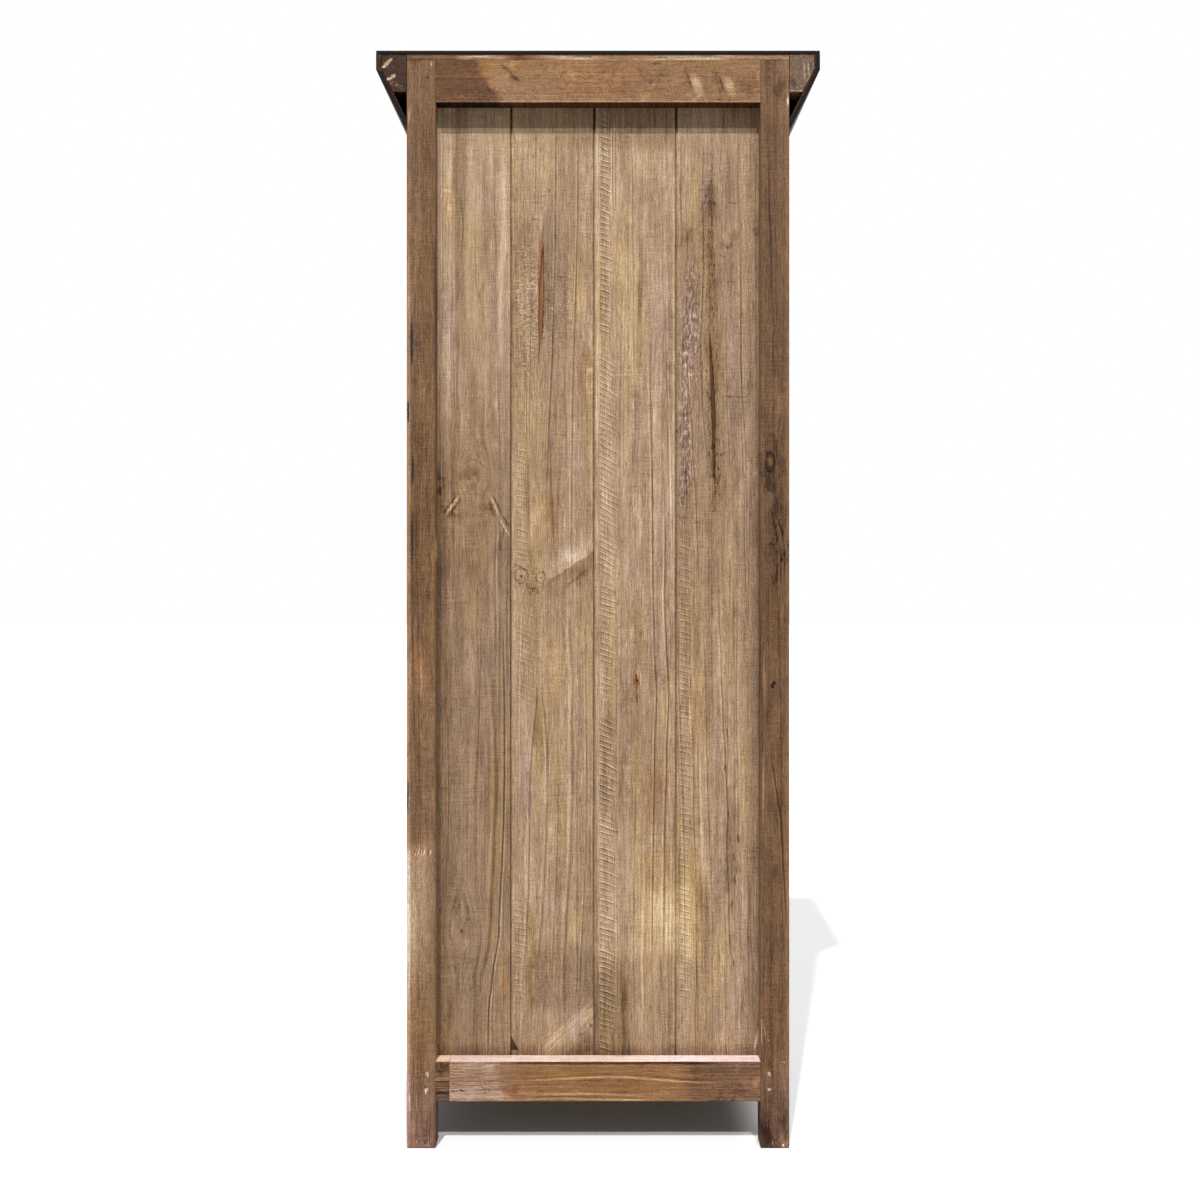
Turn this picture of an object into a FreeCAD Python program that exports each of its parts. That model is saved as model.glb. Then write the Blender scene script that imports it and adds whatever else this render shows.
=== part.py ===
import FreeCAD, Part
import math
import os

# Tall storage cabinet: four square posts that run down as feet, a plank back nailed in behind its
# rails, panelled sides, a pair of raised-panel doors on butt hinges, four shelves on cleats and a
# sloping crown under a thin cover. Sizes are millimetres. The front faces -Y, +X is the right-hand
# side seen from the front, and +Z is up. The origin is on the floor, under the middle of the plan.

# Whole cabinet
overall_height = 1830.0
carcass_width = 638.0
carcass_depth = 405.0
eased_edge = 1.2
cut_overrun = 5.0
joint_clearance = 0.3

# Posts
post_width = 48.0
post_round = 2.0
foot_height = 78.0

# Rails and their tenons
bottom_rail_height = 67.0
back_top_rail_height = 71.0
upper_rail_height = 129.5
back_rail_thickness = 28.0
front_rail_thickness = 22.0
side_rail_thickness = 24.0
tenon_length = 22.0
tenon_thickness = 10.0
tenon_shoulder = 10.0
packing_width = 23.0

# Tongued boards of the back, counted from the left as seen from behind
back_board_thickness = 14.0
back_board_shares = (0.228, 0.258, 0.255, 0.259)
back_board_end_inset = 12.0
back_rabbet_width = 10.0
board_seam = 1.4
board_tongue_reach = 6.0
board_tongue_thickness = 4.5
board_bevel = 1.2

# Drying cracks in the second and fourth back boards
crack_depth = 5.0
wide_crack_length = 190.0
wide_crack_width = 7.5
wide_crack_across_share = 0.365
wide_crack_height_share = 0.778
wide_crack_lean = -6.0
narrow_crack_length = 185.0
narrow_crack_width = 5.5
narrow_crack_across_share = 0.415
narrow_crack_height_share = 0.696
narrow_crack_lean = 12.0

# Tongued boards of the sides
side_board_thickness = 10.0
side_board_recess = 8.0
side_board_count = 3
side_groove_depth = 8.0

# Floor, shelves and the cleats that carry them
shelf_count = 4
shelf_thickness = 18.0
shelf_setback = 14.0
shelf_clearance = 1.0
door_stop_rise = 8.0
cleat_width = 18.0
cleat_height = 18.0

# Top board and the thin cover over it
top_board_thickness = 10.0
top_cover_thickness = 6.0

# Crown
crown_projection = 51.0
crown_height = 129.0
crown_fascia_height = 32.0
crown_thickness = 9.0
crown_lip = 3.0
crown_block_height = 63.0
crown_block_length = 50.0
crown_front_block_share = 0.25

# Doors
door_thickness = 21.0
door_edge_gap = 2.5
door_meeting_gap = 3.0
door_hinge_gap = 2.0
door_stile_width = 50.0
door_top_rail_height = 62.0
door_lock_rail_height = 72.0
door_bottom_rail_height = 84.0
door_lock_rail_share = 0.46
door_groove_depth = 9.0
door_groove_width = 6.4
panel_tongue_thickness = 6.0
panel_bevel_width = 30.0
panel_bevel_start = 4.0
panel_field_drop = 2.0
panel_clearance = 0.8

# Butt hinges
hinge_height = 64.0
hinge_end_distance = 120.0
hinge_leaf_width = 18.0
hinge_leaf_thickness = 1.5
hinge_leaf_gap = 0.2
knuckle_radius = 4.0
knuckle_count = 5
knuckle_play = 0.3
knuckle_standoff = 0.3
pin_radius = 2.0
pin_running_clearance = 0.05
pin_head_radius = 3.2
pin_head_height = 2.4
hinge_screw_shares = (0.5, 0.68, 0.5)

# Knobs
knob_radius = 15.0
knob_base_radius = 10.0
knob_base_thickness = 3.0
knob_neck_radius = 6.0
knob_neck_flare = 2.5
knob_projection = 29.0
knob_head_thickness = 13.0
knob_dome_rise = 7.0
knob_screw_radius = 2.0
knob_screw_reach = 12.0
knob_screw_head_radius = 4.2
knob_screw_head_height = 2.4

# Magnetic catches and their strike plates
catch_length = 46.0
catch_depth = 14.0
catch_drop = 12.0
catch_lap = 11.0
catch_distance = 62.0
catch_round = 1.5
magnet_length = 24.0
magnet_height = 8.0
magnet_depth = 9.0
strike_length = 32.0
strike_height = 11.0
strike_thickness = 0.8

# Wood screws of the hinges, catches and strike plates
screw_head_radius = 3.1
screw_shank_radius = 1.5
screw_head_depth = 1.4
screw_length = 15.0
screw_slot_width = 0.9
screw_slot_depth = 0.6
catch_screw_length = 27.0

# Nails
nail_radius = 1.2
nail_head_radius = 2.6
nail_head_thickness = 1.1
rail_nail_length = 34.0
rail_nail_inset = 14.0
rail_nail_spread = 27.0
board_nail_length = 31.0
board_nail_shares = (0.25, 0.75)

# Planes that the pieces share
half_width = carcass_width / 2
front = (crown_projection - carcass_depth) / 2
back = (crown_projection + carcass_depth) / 2
post_depth = back_rail_thickness + back_board_thickness
opening_half = half_width - post_width
front_post_inside = front + post_depth
board_inside = back - post_depth
board_outside = board_inside + back_board_thickness
cover_bottom = overall_height - top_cover_thickness
post_top = cover_bottom - top_board_thickness
bottom_rail_top = foot_height + bottom_rail_height
upper_rail_bottom = post_top - upper_rail_height
side_rail_inside = half_width - side_rail_thickness
side_board_outside = half_width - side_board_recess
side_board_inside = side_board_outside - side_board_thickness
floor_top = bottom_rail_top + door_stop_rise
door_back = front + door_thickness
door_low = bottom_rail_top + door_edge_gap
door_high = upper_rail_bottom - door_edge_gap
door_meeting_edge = door_meeting_gap / 2
door_hinge_edge = opening_half - door_hinge_gap
lock_rail_middle = door_low + door_lock_rail_share * (door_high - door_low)
hinge_x = opening_half - door_hinge_gap / 2
hinge_y = front - knuckle_radius - knuckle_standoff
hinge_middles = (
    door_low + hinge_end_distance,
    (door_low + door_high) / 2,
    door_high - hinge_end_distance,
)

Vec = FreeCAD.Vector
ORIGIN = Vec(0, 0, 0)
ALONG_X = Vec(1, 0, 0)
ALONG_Y = Vec(0, 1, 0)
ALONG_Z = Vec(0, 0, 1)


# Shared shapes
def block(x0, x1, y0, y1, z0, z1):
    return Part.makeBox(x1 - x0, y1 - y0, z1 - z0, Vec(x0, y0, z0))


def eased(shape, radius=eased_edge):
    return shape.makeFillet(radius, shape.Edges)


def eased_block(x0, x1, y0, y1, z0, z1):
    return eased(block(x0, x1, y0, y1, z0, z1))


def prism(points, direction):
    return Part.Face(Part.makePolygon(points + [points[0]])).extrude(direction)


def mirrored(shape):
    return shape.mirror(ORIGIN, ALONG_X)


def both_sides(shape):
    return [shape, mirrored(shape)]


def solids_of(shapes):
    return [solid for shape in shapes for solid in shape.Solids]


# Fasteners
def nail(at, direction, length):
    head = Part.makeCylinder(nail_head_radius, nail_head_thickness, at, direction)
    return head.fuse(Part.makeCylinder(nail_radius, length, at, direction))


def screw_body(at, direction, length):
    cone = Part.makeCone(
        screw_head_radius, screw_shank_radius, screw_head_depth, at, direction
    )
    return cone.fuse(Part.makeCylinder(screw_shank_radius, length, at, direction))


def slotted(screw, at, direction):
    # The slot runs across the head, along Z, and is cut from the face at the given point
    across = direction.cross(ALONG_Z)
    corner = (
        at
        - across * (screw_slot_width / 2)
        - ALONG_Z * (screw_head_radius + cut_overrun)
        - direction * cut_overrun
    )
    deep = direction * (cut_overrun + screw_slot_depth)
    wide = across * screw_slot_width
    outline = [corner, corner + wide, corner + wide + deep, corner + deep]
    return screw.cut(prism(outline, ALONG_Z * (2 * (screw_head_radius + cut_overrun))))


def rail_nails():
    # Two nails through each rear post into the tenon of each back rail
    found = []
    for low, high in back_rail_spans():
        for side in (1, -1):
            for up in (1, -1):
                at = Vec(
                    side * (opening_half + rail_nail_inset),
                    back,
                    (low + high + up * rail_nail_spread) / 2,
                )
                found.append(nail(at, -ALONG_Y, rail_nail_length))
    return found


def board_nails():
    # Two nails through the inside of every back board into each back rail
    found = []
    for low, high in back_rail_spans():
        for left, right in back_board_spans():
            for share in board_nail_shares:
                at = Vec(
                    left + share * (right - left),
                    board_inside,
                    (low + high) / 2,
                )
                found.append(nail(at, ALONG_Y, board_nail_length))
    return found


# Posts
def back_rail_spans():
    return (
        (foot_height, bottom_rail_top),
        (post_top - back_top_rail_height, post_top),
    )


def front_rail_spans():
    return (foot_height, bottom_rail_top), (upper_rail_bottom, post_top)


def cross_tenon(y_middle, low, high, x_from, x_to):
    # Tenon of a front or back rail, running along X
    return block(
        x_from,
        x_to,
        y_middle - tenon_thickness / 2,
        y_middle + tenon_thickness / 2,
        low + tenon_shoulder,
        high - tenon_shoulder,
    )


def side_tenon(low, high, y_from, y_to):
    # Tenon of a side rail, running along Y
    middle = half_width - side_rail_thickness / 2
    return block(
        middle - tenon_thickness / 2,
        middle + tenon_thickness / 2,
        y_from,
        y_to,
        low + tenon_shoulder,
        high - tenon_shoulder,
    )


def side_groove(y_from, y_to):
    return block(
        side_board_inside - joint_clearance,
        side_board_outside + joint_clearance,
        y_from,
        y_to,
        bottom_rail_top - side_groove_depth,
        upper_rail_bottom + side_groove_depth,
    )


def post_blank(y_from, y_to):
    blank = block(opening_half, half_width, y_from, y_to, 0, post_top)
    return eased(blank, post_round)


def rear_post(nails):
    tools = [
        cross_tenon(
            back - back_rail_thickness / 2,
            low,
            high,
            opening_half - cut_overrun,
            opening_half + tenon_length,
        )
        for low, high in back_rail_spans()
    ]
    tools += [
        side_tenon(low, high, board_inside - cut_overrun, board_inside + tenon_length)
        for low, high in front_rail_spans()
    ]
    tools.append(
        side_groove(board_inside - cut_overrun, board_inside + side_groove_depth)
    )
    tools.append(
        block(
            opening_half - cut_overrun,
            opening_half + back_rabbet_width,
            board_inside - cut_overrun,
            board_outside,
            back_board_low() - joint_clearance,
            back_board_high() + joint_clearance,
        )
    )
    return post_blank(board_inside, back).cut(tools + nails)


def front_post(leaf_recesses, screws):
    tools = [
        cross_tenon(
            front + front_rail_thickness / 2,
            low,
            high,
            opening_half - cut_overrun,
            opening_half + tenon_length,
        )
        for low, high in front_rail_spans()
    ]
    tools += [
        side_tenon(
            low,
            high,
            front_post_inside - tenon_length,
            front_post_inside + cut_overrun,
        )
        for low, high in front_rail_spans()
    ]
    tools.append(
        side_groove(
            front_post_inside - side_groove_depth, front_post_inside + cut_overrun
        )
    )
    return post_blank(front, front_post_inside).cut(tools + leaf_recesses + screws)


# Rails
def cross_rail(y_from, y_to, low, high, right_end):
    # Front or back rail between the posts, with a tenon in each
    middle = (y_from + y_to) / 2
    body = eased_block(-opening_half, right_end, y_from, y_to, low, high)
    ends = cross_tenon(
        middle, low, high, -opening_half - tenon_length, opening_half + tenon_length
    )
    return body.fuse(ends)


def side_rail(low, high):
    body = eased_block(
        side_rail_inside, half_width, front_post_inside, board_inside, low, high
    )
    body = body.cut(side_groove(front_post_inside, board_inside))
    ends = [
        side_tenon(
            low,
            high,
            front_post_inside - tenon_length,
            front_post_inside + eased_edge,
        ),
        side_tenon(low, high, board_inside - eased_edge, board_inside + tenon_length),
    ]
    return body.fuse(ends)


def packing_blocks(rail):
    # The back's bottom rail was cut short, and two offcuts fill the gap round its tenon
    low, high = foot_height, bottom_rail_top
    middle = (low + high) / 2
    spans = (low, middle), (middle, high)
    return [
        eased_block(
            opening_half - packing_width,
            opening_half,
            back - back_rail_thickness,
            back,
            start,
            end,
        ).cut(rail)
        for start, end in spans
    ]


# Tongued boards
def board_outline(start, end, thickness, has_groove, has_tongue):
    # Section of one board as (across, through) pairs, its good face at the far side
    middle = thickness / 2
    tongue = board_tongue_thickness / 2
    groove = tongue + joint_clearance
    groove_depth = board_tongue_reach - board_seam + joint_clearance
    outline = [(start, 0), (end, 0)]
    if has_tongue:
        outline += [
            (end, middle - tongue),
            (end + board_tongue_reach, middle - tongue),
            (end + board_tongue_reach, middle + tongue),
            (end, middle + tongue),
            (end, thickness - board_bevel),
            (end - board_bevel, thickness),
        ]
    else:
        outline.append((end, thickness))
    if has_groove:
        outline += [
            (start + board_bevel, thickness),
            (start, thickness - board_bevel),
            (start, middle + groove),
            (start + groove_depth, middle + groove),
            (start + groove_depth, middle - groove),
            (start, middle - groove),
        ]
    else:
        outline.append((start, thickness))
    return outline


def back_board_low():
    return foot_height + back_board_end_inset


def back_board_high():
    return post_top - back_board_end_inset


def back_board_spans():
    # Lower and higher x of each board's face, from +X to -X
    edges = [opening_half]
    for share in back_board_shares:
        edges.append(edges[-1] - share * 2 * opening_half)
    edges[0] = opening_half + back_rabbet_width - joint_clearance
    edges[-1] = -edges[0]
    last = len(back_board_shares) - 1
    spans = []
    for number in range(len(back_board_shares)):
        lower = edges[number + 1] + (0 if number == last else board_seam / 2)
        higher = edges[number] - (0 if number == 0 else board_seam / 2)
        spans.append((lower, higher))
    return spans


def crack(span, across_share, height_share, length, width, lean):
    # Spindle between two arcs, sunk into a board's outer face
    lower, higher = span
    x = higher - across_share * (higher - lower)
    z = back_board_low() + height_share * (back_board_high() - back_board_low())
    y = board_outside - crack_depth
    top = Vec(x + lean / 2, y, z + length / 2)
    bottom = Vec(x - lean / 2, y, z - length / 2)
    edges = [
        Part.Arc(top, Vec(x + width / 2, y, z), bottom).toShape(),
        Part.Arc(bottom, Vec(x - width / 2, y, z), top).toShape(),
    ]
    return Part.Face(Part.Wire(edges)).extrude(ALONG_Y * (crack_depth + cut_overrun))


def back_boards(nails):
    spans = back_board_spans()
    low, high = back_board_low(), back_board_high()
    boards = []
    for number, (lower, higher) in enumerate(spans):
        outline = board_outline(
            -higher,
            -lower,
            back_board_thickness,
            number > 0,
            number < len(spans) - 1,
        )
        points = [Vec(-across, board_inside + through, low) for across, through in outline]
        boards.append(prism(points, ALONG_Z * (high - low)).cut(nails))
    boards[1] = boards[1].cut(
        crack(
            spans[1],
            wide_crack_across_share,
            wide_crack_height_share,
            wide_crack_length,
            wide_crack_width,
            wide_crack_lean,
        )
    )
    boards[3] = boards[3].cut(
        crack(
            spans[3],
            narrow_crack_across_share,
            narrow_crack_height_share,
            narrow_crack_length,
            narrow_crack_width,
            narrow_crack_lean,
        )
    )
    return boards


def side_boards():
    reach = side_groove_depth - joint_clearance
    low = bottom_rail_top - reach
    high = upper_rail_bottom + reach
    pitch = (board_inside - front_post_inside) / side_board_count
    boards = []
    for number in range(side_board_count):
        first, last = number == 0, number == side_board_count - 1
        start = front_post_inside + number * pitch + (-reach if first else board_seam / 2)
        end = front_post_inside + (number + 1) * pitch + (reach if last else -board_seam / 2)
        outline = board_outline(start, end, side_board_thickness, not first, not last)
        points = [Vec(side_board_inside + through, across, low) for across, through in outline]
        boards.append(prism(points, ALONG_Z * (high - low)))
    return boards


# Floor, shelves and cleats
def notched_board(half_length, y_from, low):
    board = eased_block(
        -half_length,
        half_length,
        y_from,
        board_inside - joint_clearance,
        low,
        low + shelf_thickness,
    )
    notches = []
    for y_start, y_end in ((front, front_post_inside), (board_inside, back)):
        notch = block(
            opening_half - shelf_clearance,
            half_width,
            y_start - shelf_clearance,
            y_end + shelf_clearance,
            low - cut_overrun,
            low + shelf_thickness + cut_overrun,
        )
        notches += both_sides(notch)
    return board.cut(notches)


def shelf_tops():
    pitch = (upper_rail_bottom - floor_top) / (shelf_count + 1)
    return [floor_top + pitch * (number + 1) for number in range(shelf_count)]


def shelves():
    return [
        notched_board(
            side_board_inside - shelf_clearance,
            door_back + shelf_setback,
            top - shelf_thickness,
        )
        for top in shelf_tops()
    ]


def floor_board():
    return notched_board(
        side_rail_inside - shelf_clearance,
        front + front_rail_thickness,
        floor_top - shelf_thickness,
    )


def cleats():
    seats = [(side_board_inside, top) for top in shelf_tops()]
    seats.append((side_rail_inside, floor_top))
    found = []
    for outer, top in seats:
        under = top - shelf_thickness
        found += both_sides(
            eased_block(
                outer - cleat_width,
                outer,
                front_post_inside + shelf_clearance,
                board_inside - shelf_clearance,
                under - cleat_height,
                under,
            )
        )
    return found


# Crown
def crown_slope():
    # Inner line of the sloping part: z as a function of the distance out from the carcass
    foot = overall_height - crown_height
    fascia_bottom = overall_height - crown_fascia_height
    rise = (fascia_bottom - foot) / (crown_projection - crown_lip)
    lift = crown_thickness * math.sqrt(1 + rise * rise)
    return lambda out: foot + lift + rise * (out - crown_lip)


def crown_section():
    inner = crown_slope()
    foot = overall_height - crown_height
    fascia_inside = crown_projection - crown_thickness
    return [
        (crown_projection, cover_bottom),
        (crown_projection, overall_height - crown_fascia_height),
        (crown_lip, foot),
        (0, foot),
        (0, inner(0)),
        (fascia_inside, inner(fascia_inside)),
        (fascia_inside, cover_bottom),
    ]


def crown_block_section():
    # Block that fills the crown's corner, cut to its slope and square across below
    inner = crown_slope()
    start = inner(0)
    rise = (inner(crown_projection) - start) / crown_projection
    fascia_inside = crown_projection - crown_thickness
    low = cover_bottom - crown_block_height
    return [
        (0, cover_bottom),
        (fascia_inside, cover_bottom),
        (fascia_inside, inner(fascia_inside)),
        ((low - start) / rise, low),
        (0, low),
    ]


def along_side(section, y_from, y_to):
    points = [Vec(half_width + out, y_from, z) for out, z in section]
    return prism(points, ALONG_Y * (y_to - y_from))


def along_front(section, x_from, x_to):
    points = [Vec(x_from, front - out, z) for out, z in section]
    return prism(points, ALONG_X * (x_to - x_from))


def mitre_wedge(corner_x, corner_y):
    # Everything on one side of the crown's right-hand mitre, as a tall three-sided prism
    reach = 2 * crown_projection
    low = overall_height - crown_height - cut_overrun
    points = [
        Vec(half_width, front, low),
        Vec(half_width + reach, front - reach, low),
        Vec(corner_x, corner_y, low),
    ]
    return prism(points, ALONG_Z * (overall_height - low))


def crown_side():
    body = along_side(crown_section(), front - crown_projection, back)
    reach = 2 * crown_projection
    return body.cut(mitre_wedge(half_width, front - reach))


def crown_front():
    end = half_width + crown_projection
    body = along_front(crown_section(), -end, end)
    reach = 2 * crown_projection
    return body.cut(both_sides(mitre_wedge(half_width + reach, front)))


def crown_blocks():
    section = crown_block_section()
    middle = (front + back) / 2
    half = crown_block_length / 2
    spot = crown_front_block_share * carcass_width
    found = both_sides(along_side(section, back - crown_block_length, back))
    found += both_sides(along_side(section, middle - half, middle + half))
    found += both_sides(along_front(section, spot - half, spot + half))
    return found


def top_cover():
    reach = half_width + crown_projection
    return eased_block(
        -reach, reach, front - crown_projection, back, cover_bottom, overall_height
    )


def top_board():
    return eased_block(-half_width, half_width, front, back, post_top, cover_bottom)


# Doors: every piece below is the right-hand door's, and the left-hand one is its mirror image
def door_groove(x_from, x_to, z_from, z_to):
    middle = (front + door_back) / 2
    half = door_groove_width / 2
    return block(x_from, x_to, middle - half, middle + half, z_from, z_to)


def door_rail_spans():
    half = door_lock_rail_height / 2
    return {
        "bottom_rail": (door_low, door_low + door_bottom_rail_height),
        "lock_rail": (lock_rail_middle - half, lock_rail_middle + half),
        "top_rail": (door_high - door_top_rail_height, door_high),
    }


def door_stile(x_from, x_to, groove_side):
    body = eased_block(x_from, x_to, front, door_back, door_low, door_high)
    edge = x_to if groove_side > 0 else x_from
    groove = door_groove(
        min(edge, edge - groove_side * door_groove_depth),
        max(edge, edge - groove_side * door_groove_depth),
        door_low,
        door_high,
    )
    return body.cut(groove)


def door_rail(low, high):
    inner = door_meeting_edge + door_stile_width
    outer = door_hinge_edge - door_stile_width
    body = eased_block(inner, outer, front, door_back, low, high)
    if low > door_low:
        body = body.cut(door_groove(inner, outer, low, low + door_groove_depth))
    if high < door_high:
        body = body.cut(door_groove(inner, outer, high - door_groove_depth, high))
    tongue_low = low + (door_groove_depth if low > door_low else 0)
    tongue_high = high - (door_groove_depth if high < door_high else 0)
    tongue = door_groove(
        inner - door_groove_depth, outer + door_groove_depth, tongue_low, tongue_high
    )
    return body.fuse(tongue)


def rectangle(x0, x1, y, z0, z1):
    corners = [Vec(x0, y, z0), Vec(x1, y, z0), Vec(x1, y, z1), Vec(x0, y, z1)]
    return Part.makePolygon(corners + [corners[0]])


def door_panel(low, high):
    # Thin edge in the grooves, and a bevelled field that stands forward of it
    inner = door_meeting_edge + door_stile_width
    outer = door_hinge_edge - door_stile_width
    reach = door_groove_depth - panel_clearance
    middle = (front + door_back) / 2
    face = middle - panel_tongue_thickness / 2
    edge = block(
        inner - reach,
        outer + reach,
        face,
        face + panel_tongue_thickness,
        low - reach,
        high + reach,
    )
    start = panel_bevel_start
    end = panel_bevel_start + panel_bevel_width
    field = Part.makeLoft(
        [
            rectangle(inner + start, outer - start, face, low + start, high - start),
            rectangle(
                inner + end,
                outer - end,
                front + panel_field_drop,
                low + end,
                high - end,
            ),
        ],
        True,
        True,
    )
    return edge.fuse(field)


# Butt hinges of the right-hand door
def knuckle_spans(middle):
    length = (hinge_height - (knuckle_count - 1) * knuckle_play) / knuckle_count
    low = middle - hinge_height / 2
    starts = [low + number * (length + knuckle_play) for number in range(knuckle_count)]
    return [(start, start + length) for start in starts]


def hinge_leaf(middle, side):
    # Side 1 is the leaf on the post and -1 the leaf on the door
    near = hinge_x + side * hinge_leaf_gap / 2
    far = near + side * hinge_leaf_thickness
    low = middle - hinge_height / 2
    plate = block(
        min(near, far),
        max(near, far),
        hinge_y,
        front + hinge_leaf_width,
        low,
        low + hinge_height,
    )
    spans = knuckle_spans(middle)
    own = spans[0::2] if side > 0 else spans[1::2]
    others = spans[1::2] if side > 0 else spans[0::2]
    for start, end in others:
        plate = plate.cut(
            Part.makeCylinder(
                knuckle_radius + knuckle_play,
                end - start + 2 * knuckle_play,
                Vec(hinge_x, hinge_y, start - knuckle_play),
            )
        )
    knuckles = [
        Part.makeCylinder(knuckle_radius, end - start, Vec(hinge_x, hinge_y, start))
        for start, end in own
    ]
    bore = Part.makeCylinder(
        pin_radius + pin_running_clearance,
        hinge_height + 2 * cut_overrun,
        Vec(hinge_x, hinge_y, low - cut_overrun),
    )
    return plate.fuse(knuckles).cut(bore)


def leaf_recess(middle, side):
    near = hinge_x + side * hinge_leaf_gap / 2
    far = near + side * hinge_leaf_thickness
    start = hinge_x if side > 0 else far
    end = far if side > 0 else hinge_x
    return block(
        start,
        end,
        front - cut_overrun,
        front + hinge_leaf_width,
        middle - hinge_height / 2,
        middle + hinge_height / 2,
    )


def hinge_pin(middle):
    low = middle - hinge_height / 2
    shank = Part.makeCylinder(pin_radius, hinge_height, Vec(hinge_x, hinge_y, low))
    heads = []
    for start in (low - pin_head_height, low + hinge_height):
        head = Part.makeCylinder(
            pin_head_radius, pin_head_height, Vec(hinge_x, hinge_y, start)
        )
        heads.append(head.makeFillet(pin_head_height / 3, head.Edges))
    return shank.fuse(heads)


def hinge_screw_spots(middle, side):
    # Screws up each leaf, the middle one staggered towards the leaf's edge
    near = hinge_x + side * hinge_leaf_gap / 2
    step = hinge_height / len(hinge_screw_shares)
    low = middle - hinge_height / 2
    return [
        Vec(near, front + share * hinge_leaf_width, low + (number + 1 / 2) * step)
        for number, share in enumerate(hinge_screw_shares)
    ]


def hinge_screws(side):
    direction = ALONG_X * side
    return [
        (spot, direction, screw_body(spot, direction, screw_length))
        for middle in hinge_middles
        for spot in hinge_screw_spots(middle, side)
    ]


def bodies_only(screws):
    return [body for spot, direction, body in screws]


def finished_screws(screws):
    return [slotted(body, spot, direction) for spot, direction, body in screws]


# Knob and its screw
def knob():
    # Turned profile, ending in a cap of a sphere centred on the knob's own axis
    rim = knob_projection - knob_dome_rise
    neck_end = knob_projection - knob_head_thickness
    sphere = (knob_radius ** 2 + knob_dome_rise ** 2) / (2 * knob_dome_rise)
    half_turn = math.asin(knob_radius / sphere) / 2
    x = door_meeting_edge + door_stile_width / 2

    def at(radius, out):
        return Vec(x + radius, front - out, lock_rail_middle)

    corners = [
        at(0, 0),
        at(knob_base_radius, 0),
        at(knob_base_radius, knob_base_thickness),
        at(knob_neck_radius, knob_base_thickness + knob_neck_flare),
        at(knob_neck_radius, neck_end),
        at(knob_radius, rim),
    ]
    edges = [
        Part.LineSegment(start, end).toShape()
        for start, end in zip(corners, corners[1:])
    ]
    brow = at(
        sphere * math.sin(half_turn),
        knob_projection - sphere * (1 - math.cos(half_turn)),
    )
    crest = at(0, knob_projection)
    edges.append(Part.Arc(corners[-1], brow, crest).toShape())
    edges.append(Part.LineSegment(crest, corners[0]).toShape())
    solid = Part.Face(Part.Wire(edges)).revolve(corners[0], ALONG_Y, 360)
    return solid.cut(knob_screw())


def knob_screw():
    x = door_meeting_edge + door_stile_width / 2
    at = Vec(x, door_back, lock_rail_middle)
    shank = Part.makeCylinder(
        knob_screw_radius, door_thickness + knob_screw_reach, at, -ALONG_Y
    )
    head = Part.makeCylinder(knob_screw_head_radius, knob_screw_head_height, at, ALONG_Y)
    return shank.fuse(head)


# Catch on the back of the front top rail, and the plate on the door that meets it
def catch_parts():
    low = upper_rail_bottom - catch_drop
    rear = front + front_rail_thickness
    body = block(
        catch_distance - catch_length / 2,
        catch_distance + catch_length / 2,
        rear,
        rear + catch_depth,
        low,
        upper_rail_bottom + catch_lap,
    )
    body = eased(body, catch_round)
    magnet_low = low + (catch_drop - magnet_height) / 2
    magnet = block(
        catch_distance - magnet_length / 2,
        catch_distance + magnet_length / 2,
        rear,
        rear + magnet_depth,
        magnet_low,
        magnet_low + magnet_height,
    )
    return body, magnet


def catch_screws():
    rear = front + front_rail_thickness + catch_depth
    z = upper_rail_bottom + catch_lap / 2
    inset = screw_head_radius + catch_round * 2
    found = []
    for side in (1, -1):
        spot = Vec(catch_distance + side * (catch_length / 2 - inset), rear, z)
        found.append((spot, -ALONG_Y, screw_body(spot, -ALONG_Y, catch_screw_length)))
    return found


def strike_plate():
    high = upper_rail_bottom - (catch_drop - strike_height) / 2 - door_edge_gap
    return block(
        catch_distance - strike_length / 2,
        catch_distance + strike_length / 2,
        door_back,
        door_back + strike_thickness,
        high - strike_height,
        high,
    )


def strike_screw():
    spot = Vec(
        catch_distance,
        door_back + strike_thickness,
        upper_rail_bottom - catch_drop / 2 - door_edge_gap,
    )
    return spot, -ALONG_Y, screw_body(spot, -ALONG_Y, screw_length)


def right_door():
    leaves = [hinge_leaf(middle, -1) for middle in hinge_middles]
    recesses = [leaf_recess(middle, -1) for middle in hinge_middles]
    screws = hinge_screws(-1)
    plate_screw = strike_screw()
    rails = door_rail_spans()
    inner = door_meeting_edge + door_stile_width
    outer = door_hinge_edge - door_stile_width
    hinge_stile = door_stile(outer, door_hinge_edge, -1)
    meeting_stile = door_stile(door_meeting_edge, inner, 1)
    pieces = {
        "hinge_stile": [hinge_stile.cut(recesses + bodies_only(screws))],
        "meeting_stile": [meeting_stile.cut(knob_screw())],
        "lower_panel": [door_panel(rails["bottom_rail"][1], rails["lock_rail"][0])],
        "upper_panel": [door_panel(rails["lock_rail"][1], rails["top_rail"][0])],
        "hinge_leaves": [leaf.cut(bodies_only(screws)) for leaf in leaves],
        "screws": finished_screws(screws + [plate_screw]) + [knob_screw()],
        "knob": [knob()],
        "strike_plate": [strike_plate().cut(plate_screw[2])],
    }
    for name, (low, high) in rails.items():
        rail = door_rail(low, high)
        pieces[name] = [rail.cut(plate_screw[2]) if name == "top_rail" else rail]
    return pieces


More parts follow.
